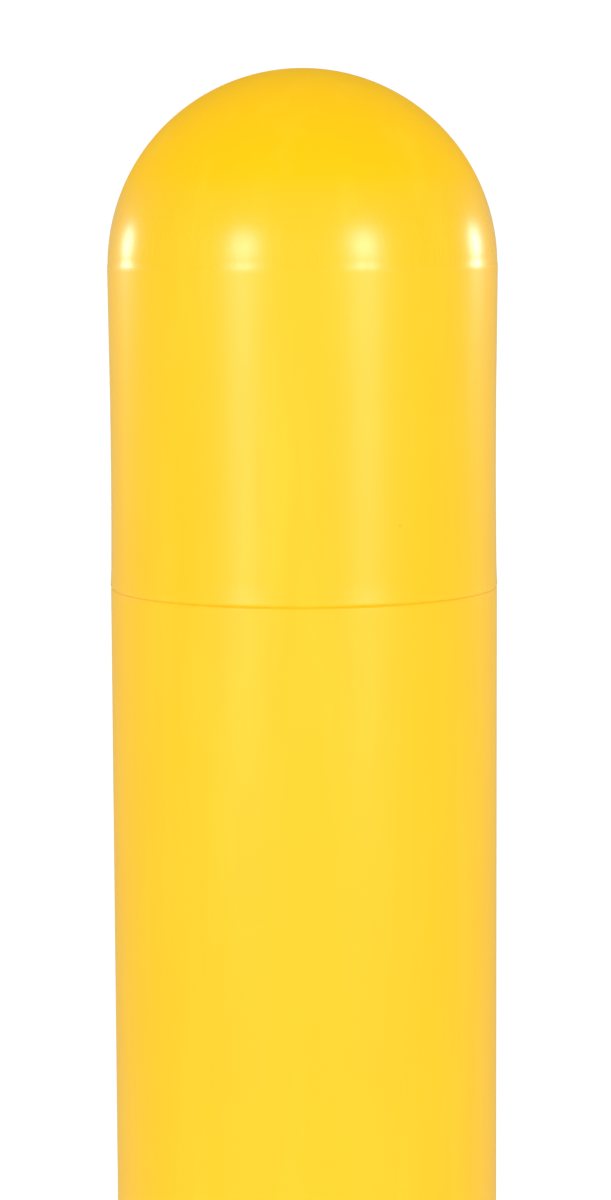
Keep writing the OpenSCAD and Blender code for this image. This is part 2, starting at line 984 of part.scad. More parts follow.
module key_spindle() {
    foot = housing_z + bush_end;
    color("silver")
    translate([pinion_x, pinion_y, 0])
    difference() {
        union() {
            translate([0, 0, foot])
            cylinder(h = head_z - spindle_collar_h - foot, r = spindle_r);
            translate([0, 0, head_z - spindle_collar_h])
            cylinder(h = spindle_collar_h, r = spindle_r + circlip_w);
            translate([-key_flats / 2, -key_flats / 2, head_z - over])
            cube([key_flats, key_flats, head_top - head_z + over]);
        }
        ring(
            spindle_r + over, spindle_r - circlip_depth,
            circlip_z - weld_gap, circlip_t + 2 * weld_gap
        );
        translate([0, 0, pinion_z - hub_h / 2])
        along_x(pin_r + weld_gap, -2 * spindle_r, 2 * spindle_r);
    }
}

module spindle_circlip() {
    color("dimgray")
    translate([pinion_x, pinion_y, 0])
    difference() {
        ring(spindle_r + circlip_w, spindle_r - circlip_depth + weld_gap, circlip_z, circlip_t);
        translate([0, -circlip_opening / 2, circlip_z - over])
        cube([2 * spindle_r, circlip_opening, circlip_t + 2 * over]);
    }
}

// Involute of an angle, in degrees in and out
function involute(a) = tan(a) * 180 / PI - a;

// Half of a tooth's thickness at radius r, as an angle
function half_tooth(r) =
    (tooth_pitch / 2 - backlash) / (2 * pitch_r) * 180 / PI
    + involute(pressure_angle) - involute(acos(pitch_r * cos(pressure_angle) / r));

base_r = pitch_r * cos(pressure_angle);
tip_r = pitch_r + addendum;
root_r = pitch_r - dedendum;
flank_steps = 5;
flank_root = base_r + 0.01;
flank = [for (i = [0 : flank_steps]) flank_root + (tip_r - flank_root) * i / flank_steps];

// One tooth's outline about the angle a: up one flank and down the other
function tooth(a) = concat(
    [polar(root_r, a - half_tooth(flank[0]))],
    [for (r = flank) polar(r, a - half_tooth(r))],
    [for (i = [flank_steps : -1 : 0]) polar(flank[i], a + half_tooth(flank[i]))],
    [polar(root_r, a + half_tooth(flank[0]))]
);

module spindle_pinion() {
    outline = [for (k = [0 : pinion_teeth - 1]) each tooth(180 + k * 360 / pinion_teeth)];
    color("peru")
    translate([pinion_x, pinion_y, pinion_z])
    difference() {
        union() {
            linear_extrude(height = pinion_w)
            polygon(outline);
            translate([0, 0, -hub_h])
            cylinder(h = hub_h + over, r = root_r - over / 2);
        }
        translate([0, 0, -hub_h - over])
        cylinder(h = pinion_w + hub_h + 2 * over, r = spindle_r + weld_gap);
        translate([0, 0, -hub_h / 2])
        along_x(pin_r + weld_gap, -2 * spindle_r, 2 * spindle_r);
    }
}

module pinion_pin() {
    color("silver")
    translate([pinion_x, pinion_y, pinion_z - hub_h / 2])
    along_x(pin_r, -root_r, root_r);
}

// The rack's gap about y = 0, open towards +X
module rack_gap() {
    half = tooth_pitch / 4 + backlash / 2;
    lean = tan(pressure_angle);
    reach = addendum + over;
    polygon([
        [rack_line - dedendum, -half + dedendum * lean],
        [rack_line + reach, -half - reach * lean],
        [rack_line + reach, half + reach * lean],
        [rack_line - dedendum, half - dedendum * lean]
    ]);
}

module lock_bolt() {
    first_gap = -floor((mesh_half - tooth_pitch / 2) / tooth_pitch);
    last_gap = floor((bolt_travel + mesh_half - tooth_pitch / 2) / tooth_pitch);
    color("silver")
    difference() {
        union() {
            translate([0, 0, bolt_z])
            along_y(bolt_r, bolt_tip + bolt_nose_h, tail_y + over);
            translate([0, bolt_tip, bolt_z])
            rotate([-90, 0, 0])
            cylinder(h = bolt_nose_h, r1 = bolt_r - bolt_nose_taper, r2 = bolt_r);
            block(
                [-bolt_r, tail_y, bolt_z - bolt_r],
                [rack_line + addendum, tail_end_y, bolt_z + bolt_r]
            );
        }
        for (k = [first_gap : last_gap])
            translate([0, pinion_y + k * tooth_pitch, bolt_z - bolt_r - over])
            linear_extrude(height = bolt_d + 2 * over)
            rack_gap();
    }
}

module keyhole_cover() {
    color("dimgray")
    translate([flap_x, flap_y, flap_gap])
    difference() {
        union() {
            cylinder(h = flap_t, r = flap_pivot_r + flap_hub_w);
            translate([flap_reach, 0, 0])
            cylinder(h = flap_t, r = flap_r);
            translate([0, -flap_pivot_r - flap_arm_w, 0])
            cube([flap_reach, 2 * (flap_pivot_r + flap_arm_w), flap_t]);
        }
        translate([0, 0, -over])
        cylinder(h = flap_t + 2 * over, r = flap_pivot_r + run_gap);
    }
}

cover_plate();
cover_screws();
frame_plate();
wiper_seal();
casing_tube();
upper_guide();
guide_screws();
stop_ring();
top_buffer();
guide_rails();
casing_base();
base_buffers();
drain_spigot();
anchor_bars();
base_bracket();
base_pin();
rod_eye();
gas_rod();
gas_piston();
lock_housing();
spindle_bracket();
lock_screws();
spindle_bushes();
bolt_bush();
bolt_guide();
key_tube();
flap_pivot();
post_tube();
lower_sleeve();
dome_cap();
foam_strips();
lock_eyelets();
head_plate();
stop_collar();
lower_guide();
foot_ring();
foot_screws();
gas_cylinder();
gas_gland();
gas_nut();
key_spindle();
spindle_pinion();
pinion_pin();
spindle_circlip();
lock_bolt();
keyhole_cover();
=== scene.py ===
# %% [markdown]
# # A retractable street bollard
# The post is a steel tube in a yellow plastic cover. It sinks into a steel casing that is buried
# under a square ground plate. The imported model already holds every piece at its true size. This
# lesson loads it, rebuilds the pieces that show with finer meshes, and gives each one a finish.

# %% Load the frame
import json
import math
import random

import bmesh
import bpy
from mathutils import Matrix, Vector


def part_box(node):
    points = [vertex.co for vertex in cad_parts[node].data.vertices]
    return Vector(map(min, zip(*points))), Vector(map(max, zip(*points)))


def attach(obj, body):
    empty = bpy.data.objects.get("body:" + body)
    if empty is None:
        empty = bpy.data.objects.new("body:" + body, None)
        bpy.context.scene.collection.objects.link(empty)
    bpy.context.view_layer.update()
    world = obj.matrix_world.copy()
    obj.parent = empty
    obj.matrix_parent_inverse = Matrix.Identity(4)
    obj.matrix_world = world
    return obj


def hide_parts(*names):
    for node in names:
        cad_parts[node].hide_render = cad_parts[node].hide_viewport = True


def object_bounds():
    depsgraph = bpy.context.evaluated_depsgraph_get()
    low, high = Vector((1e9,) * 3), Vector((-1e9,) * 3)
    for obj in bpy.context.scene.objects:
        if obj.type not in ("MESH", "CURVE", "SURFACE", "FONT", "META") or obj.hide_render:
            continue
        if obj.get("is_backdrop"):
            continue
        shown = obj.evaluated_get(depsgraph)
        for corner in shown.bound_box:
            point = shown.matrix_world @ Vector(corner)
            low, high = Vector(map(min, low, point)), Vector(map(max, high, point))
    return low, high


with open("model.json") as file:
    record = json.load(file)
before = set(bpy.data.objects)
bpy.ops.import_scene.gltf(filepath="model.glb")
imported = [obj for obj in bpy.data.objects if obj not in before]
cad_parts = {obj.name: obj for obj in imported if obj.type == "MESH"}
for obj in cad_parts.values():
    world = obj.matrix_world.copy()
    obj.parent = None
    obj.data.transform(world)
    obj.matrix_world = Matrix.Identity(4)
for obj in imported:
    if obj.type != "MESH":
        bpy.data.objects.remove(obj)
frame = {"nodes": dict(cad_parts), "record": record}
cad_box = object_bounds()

print("pieces in the frame:", len(frame["nodes"]))
print("model box, lowest and highest corner:", [round(v, 4) for corner in cad_box for v in corner])

# %% [markdown]
# The sizes that the finer meshes share are read from the frame, so a changed model changes them
# too. The post stands on the Z axis, and z = 0 is the top of the ground plate.

# %% Read the shared sizes
MM = 0.001
cap_low, cap_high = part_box("dome_cap")
sleeve_low, sleeve_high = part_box("lower_sleeve")
casing_low, casing_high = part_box("casing_tube")
base_low, base_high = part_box("casing_base")
eyelet_low, eyelet_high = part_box("lock_eyelets")


def radii_of(node):
    """The smallest and largest distance of a piece's corners from the Z axis."""
    reach = [math.hypot(v.co.x, v.co.y) for v in frame["nodes"][node].data.vertices]
    return min(reach), max(reach)


CAP_R = radii_of("dome_cap")[1]
INNER_R, SLEEVE_R = radii_of("lower_sleeve")
CASING_R = radii_of("casing_tube")[1]
DOME_Z = cap_high.z - CAP_R
JOINT_Z = cap_low.z
LAP_TOP = sleeve_high.z
LAP_R = (INNER_R + CAP_R) / 2
PORT_R = (eyelet_high.x - eyelet_low.x) / 2
PORT_UP = eyelet_high.z - PORT_R
PORT_DOWN = eyelet_low.z + PORT_R
FLOOR_Z = base_low.z
print("cover radius, dome level, joint level:", round(CAP_R, 4), round(DOME_Z, 4), round(JOINT_Z, 4))

# %% [markdown]
# The camera comes first, because everything else is judged through it. It stands about nine post
# widths away and looks slightly down at the joint between the cap and the sleeve. A long lens
# keeps the sides of the post nearly parallel. The small roll is the tilt of a hand-held view.

# %% Set the camera
CAMERA_DISTANCE = 1.66
CAMERA_PITCH = math.radians(6.7)
CAMERA_DROP = 7.0 * MM
CAMERA_ROLL = math.radians(-0.28)
CAMERA_LENS = 108.0
CAMERA_SIDE = 0.65 * MM

scene = bpy.context.scene
camera_data = bpy.data.cameras.new("camera")
camera_data.lens = CAMERA_LENS
camera_data.sensor_width = 36.0
camera_data.clip_end = 120.0
camera = bpy.data.objects.new("camera", camera_data)
scene.collection.objects.link(camera)
scene.camera = camera

target = Vector((CAMERA_SIDE, 0.0, JOINT_Z - CAMERA_DROP))
away = Vector((0.0, -math.cos(CAMERA_PITCH), math.sin(CAMERA_PITCH)))
camera.location = target + CAMERA_DISTANCE * away
look = away.to_track_quat("Z", "Y").to_matrix().to_4x4()
look.translation = camera.location
camera.matrix_world = look
camera.rotation_euler.rotate_axis("Z", CAMERA_ROLL)
print("camera stands at", [round(v, 3) for v in camera.location])

# %% [markdown]
# Soft boxes give the cover its highlights. Two stand in front, to the left and right of the
# camera, and draw the soft spots on the dome; a dim one below each draws the pale bands on the
# skirt. Two more stand behind the post and light its edges. They light the cover alone, so that
# the zinc plate beside it isn't washed out.

# %% Hang the soft boxes
BOX_DISTANCE = 2.2
cover_pieces = bpy.data.collections.new("cover_pieces")


def soft_box(name, azimuth, elevation, width, height, power):
    """A light on the cover alone, at an azimuth from the camera's side. It shows as gloss only."""
    turn, lift = math.radians(azimuth), math.radians(elevation)
    spot = Vector((
        math.sin(turn) * math.cos(lift),
        -math.cos(turn) * math.cos(lift),
        math.sin(lift),
    ))
    data = bpy.data.lights.new(name, "AREA")
    data.shape = "RECTANGLE"
    data.size = width
    data.size_y = height
    data.energy = power
    light = bpy.data.objects.new(name, data)
    light.location = Vector((0, 0, DOME_Z)) + BOX_DISTANCE * spot
    light.rotation_euler = spot.to_track_quat("Z", "Y").to_euler()
    light.visible_camera = False
    light.visible_diffuse = False
    light.light_linking.receiver_collection = cover_pieces
    scene.collection.objects.link(light)
    return light


soft_box("front_left_box", -34, 11.0, 0.50, 0.50, 17.0)
soft_box("front_right_box", 36, 11.5, 0.50, 0.54, 19.0)
soft_box("front_left_skirt_box", -35, -2, 0.46, 0.44, 4.2)
soft_box("front_right_skirt_box", 37, -2, 0.46, 0.44, 3.4)
soft_box("rear_left_box", -124, 5, 0.24, 0.30, 6.0)
soft_box("rear_right_box", 122, 5, 0.24, 0.30, 7.5)


# %% [markdown]
# The surround is a white world that answers each kind of ray in its own way. The camera sees a
# plain white backdrop. Matt surfaces get most light from the front, as in a room with a large
# window. Reflections fade towards the back and are dark at the ceiling, so the top of the dome
# keeps its deep colour.

# %% Paint the surround
BACKDROP = 1.05
SURROUND_FRONT = 1.58
SURROUND_BACK = 0.92
CEILING_SHARE = 0.78
GLOSS_FRONT = 0.62
GLOSS_BACK = 0.42
GLOSS_CEILING = 0.05
WHITE = (1, 1, 1, 1)


def world_node(kind, **values):
    """A node of the world's tree with its inputs set by name."""
    made = sky.nodes.new(kind)
    for name, value in values.items():
        made.inputs[name.replace("_", " ")].default_value = value
    return made


def world_fade(start, stop, start_value, stop_value, kind="SMOOTHSTEP"):
    """A fade between two values as a part of the ray's direction goes from start to stop."""
    made = world_node("ShaderNodeMapRange", From_Min=start, From_Max=stop,
                      To_Min=start_value, To_Max=stop_value)
    made.interpolation_type = kind
    return made


world = bpy.data.worlds.new("studio")
scene.world = world
world.use_nodes = True
sky = world.node_tree
sky.nodes.clear()
backdrop = world_node("ShaderNodeBackground", Color=WHITE, Strength=BACKDROP)
diffuse = world_node("ShaderNodeBackground", Color=WHITE)
glossy = world_node("ShaderNodeBackground", Color=WHITE)
path = world_node("ShaderNodeLightPath")
ray = world_node("ShaderNodeTexCoord")
split = world_node("ShaderNodeSeparateXYZ")
facing = world_fade(-1.0, 0.0, SURROUND_FRONT, SURROUND_BACK, "LINEAR")
soft_climb = world_fade(0.1, 0.9, 1.0, CEILING_SHARE)
soft_level = world_node("ShaderNodeMath")
soft_level.operation = "MULTIPLY"
front = world_fade(-0.75, 0.35, GLOSS_FRONT, GLOSS_BACK)
climb = world_fade(0.12, 0.7, GLOSS_FRONT, GLOSS_CEILING)
lit = world_node("ShaderNodeMixShader")
pick = world_node("ShaderNodeMixShader")
world_out = world_node("ShaderNodeOutputWorld")
for start, end in (
    (ray.outputs["Generated"], split.inputs[0]),
    (split.outputs["Z"], soft_climb.inputs["Value"]),
    (split.outputs["Y"], front.inputs["Value"]),
    (split.outputs["Z"], climb.inputs["Value"]),
    (front.outputs["Result"], climb.inputs["To Min"]),
    (split.outputs["Y"], facing.inputs["Value"]),
    (facing.outputs["Result"], soft_level.inputs[0]),
    (soft_climb.outputs["Result"], soft_level.inputs[1]),
    (soft_level.outputs[0], diffuse.inputs["Strength"]),
    (climb.outputs["Result"], glossy.inputs["Strength"]),
    (path.outputs["Is Glossy Ray"], lit.inputs["Fac"]),
    (diffuse.outputs["Background"], lit.inputs[1]),
    (glossy.outputs["Background"], lit.inputs[2]),
    (path.outputs["Is Camera Ray"], pick.inputs["Fac"]),
    (lit.outputs["Shader"], pick.inputs[1]),
    (backdrop.outputs["Background"], pick.inputs[2]),
    (pick.outputs["Shader"], world_out.inputs["Surface"]),
):
    sky.links.new(start, end)
scene.view_settings.view_transform = "Standard"
print("surround has", len(sky.nodes), "nodes")

# %% [markdown]
# Most finishes here are built from the same few effects, so each effect is a node group with
# named sockets. A group gives out only a mask, a height or a colour. The shader itself stays in
# each material, where its plain numbers are easy to read.

# %% Make helpers for node trees
def start_group(name, inputs, outputs):
    """A new shader node group with named number and colour sockets."""
    group = bpy.data.node_groups.new(name, "ShaderNodeTree")
    for socket, value in inputs.items():
        kind = "NodeSocketColor" if isinstance(value, tuple) else "NodeSocketFloat"
        made = group.interface.new_socket(name=socket, in_out="INPUT", socket_type=kind)
        made.default_value = value
    for socket, kind in outputs.items():
        group.interface.new_socket(name=socket, in_out="OUTPUT", socket_type=kind)
    return group, group.nodes.new("NodeGroupInput"), group.nodes.new("NodeGroupOutput")


def math_node(tree, operation, first, second=0.0, third=None):
    """A math node. Each operand is a number or a socket."""
    made = tree.nodes.new("ShaderNodeMath")
    made.operation = operation
    for slot_number, value in enumerate((first, second, third)):
        if value is None:
            continue
        if isinstance(value, bpy.types.NodeSocket):
            tree.links.new(value, made.inputs[slot_number])
        else:
            made.inputs[slot_number].default_value = value
    return made.outputs[0]


def remap(tree, value, low, high, new_low=0.0, new_high=1.0):
    """A smooth step from low to high. Each limit is a number or a socket."""
    made = tree.nodes.new("ShaderNodeMapRange")
    made.interpolation_type = "SMOOTHSTEP"
    for socket, given in (("Value", value), ("From Min", low), ("From Max", high),
                          ("To Min", new_low), ("To Max", new_high)):
        if isinstance(given, bpy.types.NodeSocket):
            tree.links.new(given, made.inputs[socket])
        else:
            made.inputs[socket].default_value = given
    return made.outputs["Result"]


def blend_colours(tree, amount, first, second, kind="MIX"):
    """A colour mix. Amount and colours are values or sockets."""
    made = tree.nodes.new("ShaderNodeMix")
    made.data_type = "RGBA"
    made.blend_type = kind
    for socket, given in ((made.inputs[0], amount), (made.inputs[6], first), (made.inputs[7], second)):
        if isinstance(given, bpy.types.NodeSocket):
            tree.links.new(given, socket)
        else:
            socket.default_value = given
    return made.outputs[2]


def stretched_place(tree, across, along):
    """The piece's own coordinates, scaled by one number across and another along Z."""
    place = tree.nodes.new("ShaderNodeTexCoord")
    split = tree.nodes.new("ShaderNodeSeparateXYZ")
    join = tree.nodes.new("ShaderNodeCombineXYZ")
    tree.links.new(place.outputs["Object"], split.inputs[0])
    for axis, scale in (("X", across), ("Y", across), ("Z", along)):
        tree.links.new(math_node(tree, "MULTIPLY", split.outputs[axis], scale), join.inputs[axis])
    return join.outputs[0]


def noise_at(tree, place, scale=1.0, detail=2.0, roughness=0.5):
    """A noise texture's value at a place."""
    made = tree.nodes.new("ShaderNodeTexNoise")
    made.inputs["Scale"].default_value = scale
    made.inputs["Detail"].default_value = detail
    made.inputs["Roughness"].default_value = roughness
    tree.links.new(place, made.inputs["Vector"])
    return made.outputs["Fac"]


print("node helpers are ready")

# %% [markdown]
# Grain that runs one way is everywhere on this object: wipe marks down the plastic, drawing
# lines on rod and tube, brushing on stainless steel. All of them are noise squeezed across the
# grain and pulled out along it.

# %% Make the grain group
def make_grain():
    """Streaks along Z: how many per metre across, and how many times longer than wide."""
    tree, given, out = start_group(
        "streak_grain",
        {"Lines Per Metre": 900.0, "Stretch": 60.0, "Sharpness": 0.15},
        {"Height": "NodeSocketFloat", "Mask": "NodeSocketFloat"},
    )
    along = math_node(tree, "DIVIDE", given.outputs["Lines Per Metre"], given.outputs["Stretch"])
    place = stretched_place(tree, given.outputs["Lines Per Metre"], along)
    fine = noise_at(tree, place, detail=3.0, roughness=0.65)
    low = math_node(tree, "SUBTRACT", 0.62, given.outputs["Sharpness"])
    tree.links.new(fine, out.inputs["Height"])
    tree.links.new(remap(tree, fine, low, 0.72), out.inputs["Mask"])
    return tree


GRAIN = make_grain()
print("shared effect:", GRAIN.name)

# %% [markdown]
# No real surface has one even colour. The mottle group drifts slowly between two colours, and
# the specks group scatters small dots for dust, grit and pin marks.

# %% Make the mottle and speck groups
def make_mottle():
    """A slow change between two colours, as a batch of plastic or a weathered skin shows."""
    tree, given, out = start_group(
        "mottle",
        {
            "Base": (0.8, 0.8, 0.8, 1.0), "Other": (0.7, 0.7, 0.7, 1.0),
            "Patches Per Metre": 14.0, "Amount": 0.5,
        },
        {"Color": "NodeSocketColor", "Mask": "NodeSocketFloat"},
    )
    scale = given.outputs["Patches Per Metre"]
    place = stretched_place(tree, scale, scale)
    soft = remap(tree, noise_at(tree, place, detail=4.0, roughness=0.6), 0.35, 0.68)
    amount = math_node(tree, "MULTIPLY", soft, given.outputs["Amount"])
    tree.links.new(
        blend_colours(tree, amount, given.outputs["Base"], given.outputs["Other"]), out.inputs["Color"]
    )
    tree.links.new(soft, out.inputs["Mask"])
    return tree


def make_specks():
    """Small scattered dots, for dust, grit and pin marks."""
    tree, given, out = start_group(
        "specks",
        {"Cells Per Metre": 90.0, "Dot Size": 0.06, "Share": 0.12},
        {"Mask": "NodeSocketFloat"},
    )
    scale = given.outputs["Cells Per Metre"]
    cells = tree.nodes.new("ShaderNodeTexVoronoi")
    cells.inputs["Scale"].default_value = 1.0
    tree.links.new(stretched_place(tree, scale, scale), cells.inputs["Vector"])
    edge = math_node(tree, "MULTIPLY", given.outputs["Dot Size"], 1.6)
    dot = remap(tree, cells.outputs["Distance"], given.outputs["Dot Size"], edge, 1.0, 0.0)
    split = tree.nodes.new("ShaderNodeSeparateColor")
    tree.links.new(cells.outputs["Color"], split.inputs[0])
    chosen = math_node(tree, "LESS_THAN", split.outputs[0], given.outputs["Share"])
    tree.links.new(math_node(tree, "MULTIPLY", dot, chosen), out.inputs["Mask"])
    return tree


MOTTLE, SPECKS = make_mottle(), make_specks()
print("shared effects:", MOTTLE.name, SPECKS.name)

# %% [markdown]
# Three effects belong to metal that stands outdoors and in the ground: edges rubbed bright, the
# crystals of a zinc bath, and the soil that clings to what is buried.

# %% Make the wear, spangle and soil groups
SOIL_BY_DEPTH = 0.16
SOIL_THIN = 0.40
SOIL_THICK = 0.92


def make_edge_wear():
    """Raised edges that hands, tyres and boots rub first, broken up by noise."""
    tree, given, out = start_group(
        "edge_wear", {"Reach": 0.06, "Breakup Per Metre": 260.0}, {"Mask": "NodeSocketFloat"}
    )
    shape = tree.nodes.new("ShaderNodeNewGeometry")
    high = math_node(tree, "ADD", 0.5, given.outputs["Reach"])
    ridge = remap(tree, shape.outputs["Pointiness"], 0.505, high)
    scale = given.outputs["Breakup Per Metre"]
    broken = remap(tree, noise_at(tree, stretched_place(tree, scale, scale), detail=3.0), 0.3, 0.6)
    tree.links.new(math_node(tree, "MULTIPLY", ridge, broken), out.inputs["Mask"])
    return tree


def make_spangle():
    """The crystal pattern of hot-dip zinc: flat cells, each a little lighter or darker."""
    tree, given, out = start_group(
        "zinc_spangle",
        {"Crystals Per Metre": 110.0},
        {"Shade": "NodeSocketFloat", "Height": "NodeSocketFloat"},
    )
    scale = given.outputs["Crystals Per Metre"]
    place = stretched_place(tree, scale, scale)
    cells = tree.nodes.new("ShaderNodeTexVoronoi")
    cells.inputs["Scale"].default_value = 1.0
    cells.inputs["Randomness"].default_value = 0.95
    tree.links.new(place, cells.inputs["Vector"])
    split = tree.nodes.new("ShaderNodeSeparateColor")
    tree.links.new(cells.outputs["Color"], split.inputs[0])
    feather = noise_at(tree, place, scale=5.0, detail=2.0)
    shade = math_node(tree, "ADD", math_node(tree, "MULTIPLY", split.outputs[0], 0.75),
                      math_node(tree, "MULTIPLY", feather, 0.25))
    tree.links.new(shade, out.inputs["Shade"])
    tree.links.new(feather, out.inputs["Height"])
    return tree


def make_soil():
    """Dry soil and cement film, which clings more the deeper a buried piece sits."""
    tree, given, out = start_group(
        "soil_film",
        {"Starts At": 0.0, "Full At": -1.2, "Clumps Per Metre": 30.0},
        {"Mask": "NodeSocketFloat"},
    )
    place = tree.nodes.new("ShaderNodeTexCoord")
    split = tree.nodes.new("ShaderNodeSeparateXYZ")
    tree.links.new(place.outputs["Object"], split.inputs[0])
    depth = math_node(tree, "SUBTRACT", given.outputs["Starts At"], split.outputs["Z"])
    span = math_node(tree, "SUBTRACT", given.outputs["Starts At"], given.outputs["Full At"])
    deep = math_node(tree, "DIVIDE", depth, span)
    scale = given.outputs["Clumps Per Metre"]
    clumps = noise_at(tree, stretched_place(tree, scale, scale), detail=5.0, roughness=0.65)
    thickness = math_node(tree, "ADD", clumps, math_node(tree, "MULTIPLY", deep, SOIL_BY_DEPTH))
    tree.links.new(remap(tree, thickness, SOIL_THIN, SOIL_THICK), out.inputs["Mask"])
    return tree


WEAR, SPANGLE, SOIL = make_edge_wear(), make_spangle(), make_soil()
print("shared effects:", WEAR.name, SPANGLE.name, SOIL.name)

# %% [markdown]
# A finish starts as a Principled shader with its plain numbers set on its own sockets. Masks and
# heights from the groups are then joined to its colour, roughness and bump.

# %% Make helpers for finishes
def start_finish(name, roughness, metallic=0.0, specular=0.5, coat=0.0, coat_roughness=0.1):
    """A new material and its shader, with the values that are the same all over."""
    material = bpy.data.materials.new(name)
    material.use_nodes = True
    tree = material.node_tree
    shader = tree.nodes["Principled BSDF"]
    shader.inputs["Roughness"].default_value = roughness
    shader.inputs["Metallic"].default_value = metallic
    shader.inputs["Specular IOR Level"].default_value = specular
    shader.inputs["Coat Weight"].default_value = coat
    shader.inputs["Coat Roughness"].default_value = coat_roughness
    return material, tree, shader


def use_group(tree, group, **values):
    """Places a group. A name such as dot_size sets the socket Dot Size."""
    made = tree.nodes.new("ShaderNodeGroup")
    made.node_tree = group
    for name, value in values.items():
        socket = made.inputs[name.replace("_", " ").title()]
        if isinstance(value, bpy.types.NodeSocket):
            tree.links.new(value, socket)
        else:
            socket.default_value = value
    return made.outputs


def bump(tree, shader, *layers):
    """Stacks bumps on a shader. Each layer is a height socket and its depth in metres."""
    below = None
    for height, depth in layers:
        made = tree.nodes.new("ShaderNodeBump")
        made.inputs["Strength"].default_value = 1.0
        made.inputs["Distance"].default_value = depth
        tree.links.new(height, made.inputs["Height"])
        if below is not None:
            tree.links.new(below, made.inputs["Normal"])
        below = made.outputs["Normal"]
    tree.links.new(below, shader.inputs["Normal"])


print("finish helpers are ready")

# %% [markdown]
# The cover is moulded polyethylene, coloured right through. Its surface is semi-gloss with a
# slow waviness from cooling, fine hairlines from wiping down, and a few specks of dust. The mould
# was polished over the dome and satin below it, so the gloss changes at the dome's widest level.
# Sun and rain have dulled the crown.

# %% Mix the yellow plastic
YELLOW = (1.0, 0.575, 0.0015, 1.0)
YELLOW_DEEP = (0.985, 0.548, 0.0012, 1.0)
YELLOW_PALE = (1.0, 0.605, 0.012, 1.0)
YELLOW_DUST = (0.75, 0.40, 0.03, 1.0)
POLISH_EDGE = 0.4 * MM
SHEEN = 0.34
CROWN_SHEEN = 0.08
CROWN_DULLNESS = 0.24
CROWN_FADE = (DOME_Z + 0.24 * CAP_R, DOME_Z + 0.50 * CAP_R)


def yellow_plastic(name, polished, satin, polished_above, hairline_depth):
    """Yellow moulded plastic: polished above a level and satin below it."""
    material, tree, shader = start_finish(name, satin, specular=SHEEN)
    body = use_group(tree, MOTTLE, base=YELLOW, other=YELLOW_DEEP, patches_per_metre=7.0, amount=0.6)
    specks = use_group(tree, SPECKS, cells_per_metre=24.0, dot_size=0.016, share=0.10)["Mask"]
    flow = use_group(tree, GRAIN, lines_per_metre=46.0, stretch=9.0, sharpness=0.16)["Mask"]
    flowed = blend_colours(tree, math_node(tree, "MULTIPLY", flow, 0.55), body["Color"], YELLOW_PALE)
    dusty = blend_colours(tree, math_node(tree, "MULTIPLY", specks, 0.5), flowed, YELLOW_DUST)
    tree.links.new(dusty, shader.inputs["Base Color"])
    hair = use_group(tree, GRAIN, lines_per_metre=1500.0, stretch=90.0, sharpness=0.1)
    scuffs = use_group(tree, GRAIN, lines_per_metre=240.0, stretch=14.0, sharpness=0.04)
    place = tree.nodes.new("ShaderNodeTexCoord")
    split = tree.nodes.new("ShaderNodeSeparateXYZ")
    tree.links.new(place.outputs["Object"], split.inputs[0])
    level = split.outputs["Z"]
    polish_line = (polished_above - POLISH_EDGE, polished_above + POLISH_EDGE)
    above = remap(tree, level, *polish_line, satin, polished)
    rough = math_node(tree, "ADD", above, math_node(tree, "MULTIPLY", hair["Mask"], 0.07))
    rough = math_node(tree, "ADD", rough, math_node(tree, "MULTIPLY", scuffs["Mask"], 0.05))
    crown = remap(tree, level, *CROWN_FADE)
    rough = math_node(tree, "ADD", rough, math_node(tree, "MULTIPLY", crown, CROWN_DULLNESS))
    tree.links.new(rough, shader.inputs["Roughness"])
    sheen = remap(tree, level, *CROWN_FADE, SHEEN, CROWN_SHEEN)
    tree.links.new(sheen, shader.inputs["Specular IOR Level"])
    waves = use_group(tree, MOTTLE, patches_per_metre=16.0, amount=1.0)["Mask"]
    peel = use_group(tree, MOTTLE, patches_per_metre=420.0, amount=1.0)["Mask"]
    bump(tree, shader, (waves, 0.00003), (peel, 0.000005), (hair["Height"], hairline_depth),
         (specks, 0.00003))
    return material


CAP_YELLOW = yellow_plastic("cap_yellow_plastic", 0.27, 0.31, DOME_Z, 0.000007)
SLEEVE_YELLOW = yellow_plastic("sleeve_yellow_plastic", 0.36, 0.36, DOME_Z, 0.000009)
print("mixed", CAP_YELLOW.name, "and", SLEEVE_YELLOW.name)

# %% [markdown]
# The ground plate, the casing and the steel tube are hot-dip galvanised: a dull grey skin with
# a crystal pattern, brighter where it is rubbed. What is buried also carries a film of soil.

# %% Make the zinc skins
RUBBED_ZINC = (0.68, 0.69, 0.71, 1.0)
WHITE_RUST = (0.66, 0.67, 0.66, 1.0)
DRY_SOIL = (0.36, 0.32, 0.27, 1.0)
ZINC_METAL = 0.62
SOIL_METAL = 0.02


def grey(level):
    """A grey with the slight blue of zinc."""
    return (level, level + 0.01, level + 0.02, 1.0)


